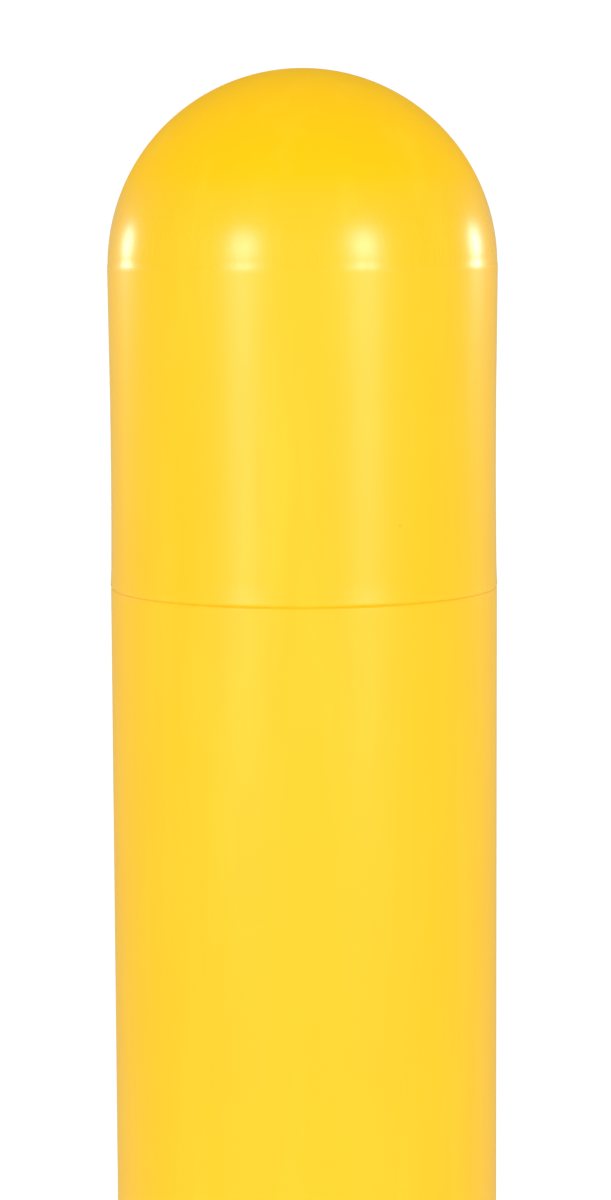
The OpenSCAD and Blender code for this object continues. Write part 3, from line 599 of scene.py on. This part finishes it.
def galvanised(name, light, dark, soil_amount, crystals=110.0, dullness=0.42):
    """Dull zinc with spangle, rubbed edges and, if buried, a film of soil."""
    material, tree, shader = start_finish(name, dullness, metallic=ZINC_METAL)
    spangle = use_group(tree, SPANGLE, crystals_per_metre=crystals)
    zinc = blend_colours(tree, spangle["Shade"], dark, light)
    wear = use_group(tree, WEAR, reach=0.05, breakup_per_metre=220.0)["Mask"]
    rubbed = blend_colours(tree, math_node(tree, "MULTIPLY", wear, 0.4), zinc, RUBBED_ZINC)
    stain = use_group(tree, MOTTLE, patches_per_metre=11.0, amount=1.0)["Mask"]
    film = use_group(tree, SOIL, starts_at=-0.03, full_at=-1.25, clumps_per_metre=70.0)["Mask"]
    dirt = math_node(tree, "MULTIPLY", film, soil_amount)
    stained = blend_colours(tree, math_node(tree, "MULTIPLY", stain, 0.22), rubbed, WHITE_RUST)
    tree.links.new(blend_colours(tree, dirt, stained, DRY_SOIL), shader.inputs["Base Color"])
    rough = math_node(tree, "ADD", dullness, math_node(tree, "MULTIPLY", spangle["Shade"], 0.16))
    rough = math_node(tree, "ADD", rough, math_node(tree, "MULTIPLY", stain, 0.1))
    tree.links.new(math_node(tree, "ADD", rough, math_node(tree, "MULTIPLY", dirt, 0.35)),
                   shader.inputs["Roughness"])
    lost = math_node(tree, "MULTIPLY", dirt, ZINC_METAL - SOIL_METAL)
    metal = math_node(tree, "SUBTRACT", ZINC_METAL, lost)
    tree.links.new(metal, shader.inputs["Metallic"])
    bump(tree, shader, (spangle["Height"], 0.00004), (film, 0.00025 * soil_amount))
    return material


PLATE_ZINC = galvanised("plate_zinc", grey(0.60), grey(0.42), 0.2)
CASING_ZINC = galvanised("casing_zinc", grey(0.56), grey(0.40), 0.75, 80.0)
TUBE_ZINC = galvanised("tube_zinc", grey(0.62), grey(0.46), 0.1)
print("zinc skins:", PLATE_ZINC.name, CASING_ZINC.name, TUBE_ZINC.name)

# %% [markdown]
# Turned, ground and plated metals differ mainly in colour, gloss and the depth of their grain,
# so one function makes them all.

# %% Make the bright metals
def worked_metal(name, colour, other, roughness, lines=1400.0, stretch=12.0, depth=0.00001):
    """A metal with machining or brushing marks, a slow stain and rubbed edges."""
    material, tree, shader = start_finish(name, roughness, metallic=1.0)
    body = use_group(tree, MOTTLE, base=colour, other=other, patches_per_metre=60.0, amount=0.8)
    wear = use_group(tree, WEAR, reach=0.06, breakup_per_metre=500.0)["Mask"]
    pale = tuple(min(1.0, 0.6 * value + 0.36) for value in colour[:3]) + (1.0,)
    tree.links.new(blend_colours(tree, wear, body["Color"], pale), shader.inputs["Base Color"])
    grain = use_group(tree, GRAIN, lines_per_metre=lines, stretch=stretch, sharpness=0.2)
    rough = math_node(tree, "ADD", roughness, math_node(tree, "MULTIPLY", grain["Mask"], 0.14))
    tree.links.new(math_node(tree, "ADD", rough, math_node(tree, "MULTIPLY", body["Mask"], 0.08)),
                   shader.inputs["Roughness"])
    bump(tree, shader, (grain["Height"], depth))
    return material


STAINLESS = worked_metal("brushed_stainless", (0.62, 0.61, 0.59, 1.0), (0.50, 0.49, 0.47, 1.0), 0.36)
BRIGHT_ZINC = worked_metal("bright_zinc", (0.64, 0.66, 0.70, 1.0), (0.54, 0.54, 0.50, 1.0), 0.3)
HARD_CHROME = worked_metal(
    "hard_chrome", (0.78, 0.79, 0.81, 1.0), (0.70, 0.71, 0.73, 1.0), 0.08, depth=0.000003,
)
BRONZE = worked_metal("bearing_bronze", (0.70, 0.46, 0.22, 1.0), (0.52, 0.31, 0.13, 1.0), 0.3)
print("bright metals:", STAINLESS.name, BRIGHT_ZINC.name, HARD_CHROME.name, BRONZE.name)

# %% [markdown]
# The rest are dull, non-metallic skins: rubber, nylon, foam, black enamel and the rusty scale of
# reinforcing bar. Each has its own texture size and its own dust.

# %% Make the dull skins
PALE_DUST = (0.4, 0.36, 0.3, 1.0)
DUST_AMOUNT = 0.3


def dull_skin(name, colour, other, roughness, pores, pore_depth):
    """A matt skin with pores and dust in two colours."""
    material, tree, shader = start_finish(name, roughness, specular=0.35)
    body = use_group(tree, MOTTLE, base=colour, other=other, patches_per_metre=70.0, amount=1.0)
    film = use_group(tree, SOIL, starts_at=0.05, full_at=-1.3, clumps_per_metre=60.0)["Mask"]
    dusty = math_node(tree, "MULTIPLY", film, DUST_AMOUNT)
    tree.links.new(blend_colours(tree, dusty, body["Color"], PALE_DUST), shader.inputs["Base Color"])
    rough = math_node(tree, "ADD", roughness, math_node(tree, "MULTIPLY", body["Mask"], 0.1))
    tree.links.new(rough, shader.inputs["Roughness"])
    skin = use_group(tree, MOTTLE, patches_per_metre=pores, amount=1.0)["Mask"]
    bump(tree, shader, (skin, pore_depth))
    return material


RUBBER = dull_skin(
    "moulded_rubber", (0.022, 0.022, 0.023, 1.0), (0.04, 0.04, 0.04, 1.0), 0.55, 900.0, 0.00003,
)
NYLON = dull_skin(
    "machined_nylon", (0.80, 0.78, 0.70, 1.0), (0.70, 0.68, 0.60, 1.0), 0.42, 600.0, 0.00001,
)
FOAM = dull_skin(
    "foam_tape", (0.06, 0.06, 0.065, 1.0), (0.10, 0.10, 0.10, 1.0), 0.9, 1400.0, 0.0001,
)
ENAMEL = dull_skin(
    "black_enamel", (0.015, 0.015, 0.017, 1.0), (0.03, 0.03, 0.03, 1.0), 0.25, 250.0, 0.00001,
)
BAR_RUST = dull_skin(
    "bar_rust", (0.20, 0.085, 0.04, 1.0), (0.09, 0.06, 0.05, 1.0), 0.75, 500.0, 0.00012,
)
print("dull skins:", RUBBER.name, NYLON.name, FOAM.name, ENAMEL.name, BAR_RUST.name)

# %% [markdown]
# Every piece of the frame already names the kind of material it is made of. One table turns
# those names into the finishes above. The frame's pieces keep their vertices: a weld and a small
# bevel are laid over them as modifiers, so that edges catch the light as real ones do.

# %% Dress the pieces of the frame
FINISH = {
    "yellow_plastic": SLEEVE_YELLOW, "galvanised_plate": CASING_ZINC, "galvanised_tube": TUBE_ZINC,
    "stainless": STAINLESS, "zinc_fixings": BRIGHT_ZINC, "chromed_rod": HARD_CHROME,
    "black_enamel": ENAMEL, "reinforcing_bar": BAR_RUST, "bronze": BRONZE, "nylon": NYLON,
    "rubber": RUBBER, "foam": FOAM,
}
SMALL_BEVEL = 0.4 * MM
PLAIN_EDGES = {"foam_strips", "spindle_pinion", "lock_bolt"}

OWN_FINISH = {
    "cover_plate": PLATE_ZINC, "frame_plate": PLATE_ZINC, "dome_cap": CAP_YELLOW,
}

for part in frame["record"]["subparts"]:
    piece = frame["nodes"][part["node"]]
    piece.data.materials.clear()
    piece.data.materials.append(OWN_FINISH.get(part["node"], FINISH[part["material_slot"]]))
    weld = piece.modifiers.new("join_corners", "WELD")
    weld.merge_threshold = 0.002 * MM
    if part["node"] not in PLAIN_EDGES:
        edge = piece.modifiers.new("soft_edges", "BEVEL")
        edge.width = SMALL_BEVEL
        edge.segments = 2
        edge.limit_method = "ANGLE"
        edge.angle_limit = math.radians(40)
        edge.harden_normals = True

# %% [markdown]
# Round pieces are turned, as on a lathe: an outline of radius and height is swept about the Z
# axis. Corners in an outline are rounded with true arcs, because a moulded or turned edge is
# never sharp.

# %% Make the turning helpers
TURNS = 144
LEVEL_STEP = 4.0 * MM


def rounded(outline, radii):
    """The outline with an arc at each corner that has a radius. Ends stay as they are."""
    made = []
    for index, (corner, radius) in enumerate(zip(outline, radii)):
        corner = Vector(corner)
        if not radius or index in (0, len(outline) - 1):
            made.append(corner)
            continue
        back = (Vector(outline[index - 1]) - corner).normalized()
        ahead = (Vector(outline[index + 1]) - corner).normalized()
        half = back.angle(ahead) / 2
        reach = radius / math.tan(half)
        centre = corner + (back + ahead).normalized() * radius / math.sin(half)
        start, stop = corner + back * reach - centre, corner + ahead * reach - centre
        steps = 6
        sweep = start.angle_signed(stop)
        for step in range(steps + 1):
            turn = -sweep * step / steps
            made.append(centre + Vector((
                start.x * math.cos(turn) - start.y * math.sin(turn),
                start.x * math.sin(turn) + start.y * math.cos(turn),
            )))
    return made


print("turned pieces get", TURNS, "segments")

# %% [markdown]
# A turned piece starts as an empty mesh. These helpers sweep its outline, close and shade it,
# and fasten it to the body it moves with and to the plain piece that it stands for.

# %% Make the sweeping and placing helpers
def turn_outline(bm, outline, closed, segments=TURNS):
    """Sweeps an outline of (radius, height) about Z. A point on the axis becomes one vertex."""
    rings = []
    for radius, height in outline:
        if radius < 1e-7:
            rings.append([bm.verts.new((0, 0, height))] * segments)
            continue
        rings.append([
            bm.verts.new((radius * math.cos(a), radius * math.sin(a), height))
            for a in (math.tau * k / segments for k in range(segments))
        ])
    pairs = list(zip(rings, rings[1:] + rings[:1])) if closed else list(zip(rings, rings[1:]))
    for low, high in pairs:
        for k in range(segments):
            after = (k + 1) % segments
            corners = [low[k], low[after], high[after], high[k]]
            corners = [v for i, v in enumerate(corners) if v not in corners[:i]]
            if len(corners) > 2:
                bm.faces.new(corners)


def keep_mesh(name, bm, material, sharp=35.0):
    """Closes a bmesh into a named, smoothly shaded piece."""
    bmesh.ops.recalc_face_normals(bm, faces=bm.faces)
    mesh = bpy.data.meshes.new(name)
    bm.to_mesh(mesh)
    bm.free()
    mesh.shade_smooth()
    mesh.set_sharp_from_angle(angle=math.radians(sharp))
    mesh.materials.append(material)
    piece = bpy.data.objects.new(name, mesh)
    scene.collection.objects.link(piece)
    return piece


def place(piece, body, slot, *nodes):
    """Fastens a piece to its body and hides the frame pieces it stands for. The slot is not used."""
    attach(piece, body)
    if nodes:
        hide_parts(*nodes)
    print(piece.name, "rides on", body, "with", len(piece.data.polygons), "faces")


def levels(*stops, step=LEVEL_STEP):
    """Heights from stop to stop, in even steps of about the given size."""
    made = [stops[0]]
    for low, high in zip(stops, stops[1:]):
        count = max(1, round(abs(high - low) / step))
        made += [low + (high - low) * k / count for k in range(1, count + 1)]
    return made


print("turned walls get a ring every", round(LEVEL_STEP / MM, 1), "mm")

# %% [markdown]
# Each tube has a round hole or two in its wall, such as the one where the lock bolt enters.
# Cutting them with a boolean would leave long thin faces, which show in a glossy skin. Instead, a
# square patch of the turned wall is taken out, and rings of faces close in from the square's
# border to the round hole.

# %% Make the wall port
PORT_HALF = 20.0 * MM
PORT_RINGS = 5


def open_port(bm, wall_r, height, radius, half=PORT_HALF, side=1):
    """Opens a round hole in a wall on the +Y or -Y side and returns its rim, in order."""
    reach = math.tau / TURNS * math.ceil(half * TURNS / (math.tau * wall_r))

    def unrolled(co):
        return Vector((math.atan2(side * co.x, side * co.y) * wall_r, co.z - height))

    def inside(face):
        spot = unrolled(face.calc_center_median())
        on_wall = all(abs(math.hypot(v.co.x, v.co.y) - wall_r) < MM for v in face.verts)
        return on_wall and abs(spot.x) < reach * wall_r and abs(spot.y) < half

    patch = [face for face in bm.faces if inside(face)]
    chosen = set(patch)
    border = {
        v for face in patch for edge in face.edges
        if any(other not in chosen for other in edge.link_faces) for v in edge.verts
    }
    bmesh.ops.delete(bm, geom=patch, context="FACES")
    border = sorted(border, key=lambda v: math.atan2(unrolled(v.co).y, unrolled(v.co).x))
    rings = [border]
    for ring in range(1, PORT_RINGS + 1):
        share = ring / PORT_RINGS
        made = []
        for v in border:
            start = unrolled(v.co)
            spot = start.lerp(start.normalized() * radius, share)
            start_r = math.hypot(v.co.x, v.co.y)
            turn = spot.x / wall_r
            made.append(bm.verts.new((
                side * start_r * math.sin(turn), side * start_r * math.cos(turn), height + spot.y,
            )))
        rings.append(made)
    for low, high in zip(rings, rings[1:]):
        for k in range(len(border)):
            after = (k + 1) % len(border)
            bm.faces.new([low[k], low[after], high[after], high[k]])
    return rings[-1]


def join_rims(bm, outer, inner):
    """The wall of a hole between its two rims."""
    for k in range(len(outer)):
        after = (k + 1) % len(outer)
        bm.faces.new([outer[k], outer[after], inner[after], inner[k]])


print("lock port radius:", round(PORT_R / MM, 2), "mm")

# %% [markdown]
# The dome cap is one moulding: half a sphere on a straight skirt, with a rebate inside its lower
# end that laps over the sleeve. The lip is rolled over in a small arc, and where the dome meets
# the skirt the mould has left a fine step. The skirt has shrunk a little in the mould: it is
# slightly waisted and opens again towards its lip, which catches the light above the groove.

# %% Turn the dome cap
MOULD_STEP = 0.2 * MM
WAIST = 0.45 * MM
FLARE = 0.3 * MM
LIP_ROUND = 0.5 * MM
GROOVE = 0.6 * MM
GROOVE_LIP = 0.85 * MM
FIT = 0.1 * MM


def dome_arc(radius, first, last, steps):
    """Points of a dome's outline between two angles above its widest level."""
    return [
        (radius * math.cos(a), DOME_Z + radius * math.sin(a))
        for a in (first + (last - first) * k / steps for k in range(steps + 1))
    ]


def skirt_radius(z):
    """The skirt's radius: widest at the dome and at the lip, and slimmest below its middle."""
    down = min(1.0, max(0.0, (DOME_Z - z) / (DOME_Z - JOINT_Z)))
    slim = WAIST * math.sin(math.pi * down ** 1.35)
    bell = FLARE * min(1.0, (1.0 - down) / 0.06) ** 0.8 * min(1.0, down / 0.4)
    return CAP_R - slim - bell


def cap_outline():
    """The cap's outline from the top of the dome, down the outside and back up the inside."""
    port = (PORT_UP + PORT_HALF, PORT_UP - PORT_HALF)
    dome_r = CAP_R - MOULD_STEP
    outside = dome_arc(dome_r, math.pi / 2, 0.012, 48)
    outside += [(CAP_R - MOULD_STEP * 0.3, DOME_Z + 0.35 * MM), (CAP_R, DOME_Z - 0.1 * MM)]
    lip_top = JOINT_Z + 3 * MM
    skirt = levels(DOME_Z - 2 * MM, port[0], port[1], JOINT_Z + 14 * MM)
    skirt += levels(JOINT_Z + 12.5 * MM, lip_top, step=MM)
    outside += [(skirt_radius(z), z) for z in skirt]
    lip = rounded(
        [(skirt_radius(lip_top), lip_top), (CAP_R, JOINT_Z + GROOVE_LIP), (CAP_R - GROOVE, JOINT_Z),
         (LAP_R + FIT, JOINT_Z), (LAP_R + FIT, LAP_TOP)],
        [0, LIP_ROUND, 0, 0.15 * MM, 0],
    )
    inner_wall = levels(LAP_TOP + 3 * FIT, port[1], port[0], DOME_Z - 2 * MM)
    inside = [(LAP_R + FIT, LAP_TOP + 3 * FIT)]
    inside += [(INNER_R, z) for z in inner_wall] + dome_arc(INNER_R, 0.0, math.pi / 2, 40)
    made = outside + [tuple(p) for p in lip[1:]] + inside
    made[0] = (0.0, cap_high.z - MOULD_STEP)
    made[-1] = (0.0, DOME_Z + INNER_R)
    return made


bm = bmesh.new()
turn_outline(bm, cap_outline(), closed=False)
join_rims(bm, open_port(bm, CAP_R, PORT_UP, PORT_R), open_port(bm, INNER_R, PORT_UP, PORT_R))
cap = keep_mesh("dome_cap_moulding", bm, CAP_YELLOW)
place(cap, "post", "yellow_plastic", "dome_cap")
cover_pieces.objects.link(cap)

# %% [markdown]
# The lower sleeve is a plain tube of the same wall. Its upper end is thinned to a collar that
# the cap laps over, and its outer shoulder is rounded, so that the joint reads as a fine groove.

# %% Turn the lower sleeve
def sleeve_outline():
    """The sleeve's outline, once round: up the outside, over the collar and down the inside."""
    low, top = sleeve_low.z, LAP_TOP
    port = (PORT_DOWN - PORT_HALF, PORT_DOWN + PORT_HALF)
    shoulder_z, ledge_z = JOINT_Z - 3 * MM, JOINT_Z - FIT / 4
    walls = levels(low + 2 * MM, port[0], port[1], shoulder_z)
    shoulder = rounded(
        [(SLEEVE_R, shoulder_z), (SLEEVE_R, JOINT_Z - GROOVE_LIP), (SLEEVE_R - GROOVE, ledge_z),
         (LAP_R, ledge_z), (LAP_R, top), (INNER_R, top), (INNER_R, shoulder_z)],
        [0, 0.3 * MM, 0, 0, 0.4 * MM, 0.4 * MM, 0],
    )
    foot = rounded(
        [(INNER_R, low + 2 * MM), (INNER_R, low), (SLEEVE_R, low), (SLEEVE_R, low + 2 * MM)],
        [0, 0.4 * MM, 0.8 * MM, 0],
    )
    outside = [(SLEEVE_R, z) for z in walls]
    inside = [(INNER_R, z) for z in reversed(walls)]
    return outside + [tuple(p) for p in shoulder[1:-1]] + inside + [tuple(p) for p in foot[1:-1]]


bm = bmesh.new()
turn_outline(bm, sleeve_outline(), closed=True)
join_rims(bm, open_port(bm, SLEEVE_R, PORT_DOWN, PORT_R), open_port(bm, INNER_R, PORT_DOWN, PORT_R))
sleeve = keep_mesh("lower_sleeve_moulding", bm, SLEEVE_YELLOW)
place(sleeve, "post", "yellow_plastic", "lower_sleeve")
cover_pieces.objects.link(sleeve)

# %% [markdown]
# The casing is a length of thick steel tube. It has a hole at the back for the lock bolt's bush
# and one at the front, near its foot, for the drain. A fine turned mesh keeps its long wall even.

# %% Turn the casing tube
CASING_IN_R = radii_of("casing_tube")[0]
DRAIN_HALF = 28.0 * MM
ROW_STEP = 12.0 * MM
BROKEN_EDGE = 0.4 * MM
BUSH_R = 13.05 * MM
SPIGOT_SEAT = 0.45 * MM
bush_low, bush_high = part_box("bolt_bush")
spigot_low, spigot_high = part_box("drain_spigot")
BUSH_Z = (bush_low.z + bush_high.z) / 2
SPIGOT_R = (spigot_high.x - spigot_low.x) / 2 - SPIGOT_SEAT
SPIGOT_Z = (spigot_low.z + spigot_high.z) / 2


def casing_outline():
    """The tube's outline, once round, with square-cut ends that are slightly broken."""
    low, high, ends = casing_low.z, casing_high.z, BROKEN_EDGE
    rows = levels(low + MM, SPIGOT_Z - DRAIN_HALF, SPIGOT_Z + DRAIN_HALF,
                  BUSH_Z - PORT_HALF, BUSH_Z + PORT_HALF, high - MM, step=ROW_STEP)
    outside = [(CASING_R, z) for z in rows]
    inside = [(CASING_IN_R, z) for z in reversed(rows)]
    top = [(CASING_R, high - ends), (CASING_R - ends, high),
           (CASING_IN_R + ends, high), (CASING_IN_R, high - ends)]
    foot = [(CASING_IN_R, low + ends), (CASING_IN_R + ends, low),
            (CASING_R - ends, low), (CASING_R, low + ends)]
    return outside + top + inside + foot


bm = bmesh.new()
turn_outline(bm, casing_outline(), closed=True)
join_rims(bm, open_port(bm, CASING_R, BUSH_Z, BUSH_R), open_port(bm, CASING_IN_R, BUSH_Z, BUSH_R))
join_rims(bm, open_port(bm, CASING_R, SPIGOT_Z, SPIGOT_R, DRAIN_HALF, -1),
          open_port(bm, CASING_IN_R, SPIGOT_Z, SPIGOT_R, DRAIN_HALF, -1))
casing = keep_mesh("casing_tube_fabrication", bm, CASING_ZINC)
place(casing, "casing", "galvanised_plate", "casing_tube")

# %% [markdown]
# A rubber wiper ring sits under the ground plate's opening and keeps grit out of the casing. Its
# lip leans in towards the cover. It would be extruded or moulded, so all its edges are soft.

# %% Turn the wiper seal
seal_low, seal_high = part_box("wiper_seal")
SEAL_IN_R, SEAL_OUT_R = radii_of("wiper_seal")
LIP_REACH = 7.0 * MM
SEAL_BODY_R = SEAL_IN_R + LIP_REACH
seal_section = rounded(
    [(SEAL_BODY_R, seal_low.z), (SEAL_OUT_R, seal_low.z), (SEAL_OUT_R, seal_high.z),
     (SEAL_IN_R + 2.2 * MM, seal_high.z), (SEAL_IN_R, seal_high.z - 2 * MM),
     (SEAL_IN_R, seal_high.z - 4 * MM), (SEAL_BODY_R, seal_high.z - 6 * MM), (SEAL_BODY_R, seal_low.z)],
    [0, 0.8 * MM, 0.3 * MM, 0.5 * MM, 0.7 * MM, 0.9 * MM, 0.8 * MM, 0],
)
bm = bmesh.new()
turn_outline(bm, seal_section[:-1], closed=True)
place(keep_mesh("wiper_seal_moulding", bm, RUBBER), "casing", "rubber", "wiper_seal")

# %% [markdown]
# The anchor bars are short lengths of reinforcing bar. Rolled ribs run round each bar on a
# slant, and they are what the concrete grips.

# %% Roll the anchor bars
bars_low, bars_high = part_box("anchor_bars")
BAR_R = 6.0 * MM
BAR_END = radii_of("anchor_bars")[1]
RIB_PITCH = 7.5 * MM
RIB_HEIGHT = 0.7 * MM
RIB_SLANT = 2.2 * MM
BAR_SIDES = 20


def ribbed_bar(bm, angle, height):
    """One bar along X at an angle about Z, with slanted ribs and sheared ends."""
    start, stop = CASING_R + 0.05 * MM, BAR_END - 0.3 * MM
    count = round((stop - start) / (RIB_PITCH / 6))
    turn = Vector((math.cos(angle), math.sin(angle), 0.0))
    side = Vector((-math.sin(angle), math.cos(angle), 0.0))
    rings = []
    for step in range(count + 1):
        along = start + (stop - start) * step / count
        ring = []
        for k in range(BAR_SIDES):
            a = math.tau * k / BAR_SIDES
            slant = along + RIB_SLANT * math.sin(a)
            rib = max(0.0, math.cos(math.tau * slant / RIB_PITCH)) ** 3 * abs(math.cos(a)) ** 0.3
            radius = BAR_R - RIB_HEIGHT * (1.0 - rib)
            rise = Vector((0, 0, height + radius * math.sin(a)))
            ring.append(bm.verts.new(turn * along + side * radius * math.cos(a) + rise))
        rings.append(ring)
    for low, high in zip(rings, rings[1:]):
        for k in range(BAR_SIDES):
            after = (k + 1) % BAR_SIDES
            bm.faces.new([low[k], low[after], high[after], high[k]])
    bm.faces.new(rings[0])
    bm.faces.new(list(reversed(rings[-1])))


bm = bmesh.new()
for height in (bars_high.z - BAR_R, bars_low.z + BAR_R):
    for quarter in range(4):
        ribbed_bar(bm, math.pi / 4 + quarter * math.pi / 2, height)
place(keep_mesh("ribbed_anchor_bars", bm, BAR_RUST), "casing", "reinforcing_bar", "anchor_bars")

# %% [markdown]
# The casing is a welded fabrication. Each bead is a fillet between two faces, laid in overlapping
# ripples. A bead follows a path; at each point two directions say which faces it joins.

# %% Lay the weld beads
BEAD_LEG = 5.0 * MM
RIPPLE = 2.6 * MM
rng = random.Random(7)


def weld_bead(bm, path, leg=BEAD_LEG):
    """A rippled fillet along points, each with the directions of the two faces it joins."""
    rings = []
    run = 0.0
    for index, (corner, first, second) in enumerate(path):
        if index:
            run += (corner - path[index - 1][0]).length
        phase = (run / RIPPLE) % 1.0
        size = leg * (0.93 + 0.10 * math.sin(math.pi * phase) + rng.uniform(-0.015, 0.015))
        if index in (0, len(path) - 1):
            size *= 0.55
        ring = [corner - 0.4 * MM * (first + second)]
        for share in (0.0, 0.25, 0.5, 0.75, 1.0):
            spot = first.lerp(second, share) * size
            swell = 0.16 * size * math.sin(math.pi * share)
            ring.append(corner + spot + (first + second).normalized() * swell)
        rings.append([bm.verts.new(spot) for spot in ring])
    for low, high in zip(rings, rings[1:]):
        for k in range(len(low)):
            after = (k + 1) % len(low)
            bm.faces.new([low[k], low[after], high[after], high[k]])
    bm.faces.new(rings[0])
    bm.faces.new(list(reversed(rings[-1])))


def ring_path(height, up, first_angle, last_angle):
    """A bead's path round the casing tube, on a plate that faces up or down."""
    count = round(CASING_R * (last_angle - first_angle) / (RIPPLE / 4))
    made = []
    for step in range(count + 1):
        a = first_angle + (last_angle - first_angle) * step / count
        out = Vector((math.cos(a), math.sin(a), 0.0))
        made.append((out * CASING_R + Vector((0, 0, height)), out, Vector((0, 0, up))))
    return made


def upright_path(x, low, high, side):
    """A bead's path up the corner between the lock housing's side and the casing tube."""
    y = math.sqrt(CASING_R ** 2 - x ** 2)
    tangent = Vector((y, -x, 0.0)).normalized() * side
    count = round((high - low) / (RIPPLE / 4))
    return [
        (Vector((x, y, low + (high - low) * step / count)), tangent, Vector((0, 1, 0)))
        for step in range(count + 1)
    ]


box_low, box_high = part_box("lock_housing")
bm = bmesh.new()
weld_bead(bm, ring_path(base_high.z, 1, math.radians(-85), math.radians(265)))
frame_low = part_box("frame_plate")[0]
weld_bead(bm, ring_path(frame_low.z, -1, math.radians(112), math.radians(412)))
weld_bead(bm, upright_path(box_low.x, box_low.z + 2 * MM, frame_low.z - 2 * MM, -1))
weld_bead(bm, upright_path(box_high.x, box_low.z + 2 * MM, frame_low.z - 2 * MM, 1))
place(keep_mesh("weld_beads", bm, CASING_ZINC, sharp=50.0), "casing", "galvanised_plate")

# %% [markdown]
# The floor is a wide pale sheet under the casing's base plate, lit from below like a studio's
# glass table, so that it fades into the backdrop. It isn't part of the object.

# %% Lay the floor
FLOOR_HALF = 4.0
FLOOR_GLOW = 0.20
bm = bmesh.new()
corners = ((-1, -1), (1, -1), (1, 1), (-1, 1))
bm.faces.new([bm.verts.new((x * FLOOR_HALF, y * FLOOR_HALF, FLOOR_Z)) for x, y in corners])
pale, pale_tree, pale_shader = start_finish("pale_floor", 0.9, specular=0.0)
tone = use_group(
    pale_tree, MOTTLE,
    base=(0.93, 0.93, 0.93, 1.0), other=(0.91, 0.91, 0.91, 1.0), patches_per_metre=3.0,
)
pale_tree.links.new(tone["Color"], pale_shader.inputs["Base Color"])
pale_shader.inputs["Emission Color"].default_value = (1, 1, 1, 1)
pale_shader.inputs["Emission Strength"].default_value = FLOOR_GLOW
floor = keep_mesh("floor", bm, pale)
floor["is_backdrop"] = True
print("floor level:", round(FLOOR_Z, 4))

# %% [markdown]
# The last cell compares the box of the finished model with the box of the frame.

# %% Compare the boxes
look_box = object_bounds()
change = [round((b - a) / MM, 2) for c, d in zip(cad_box, look_box) for a, b in zip(c, d)]
print("size change:", change, "mm")
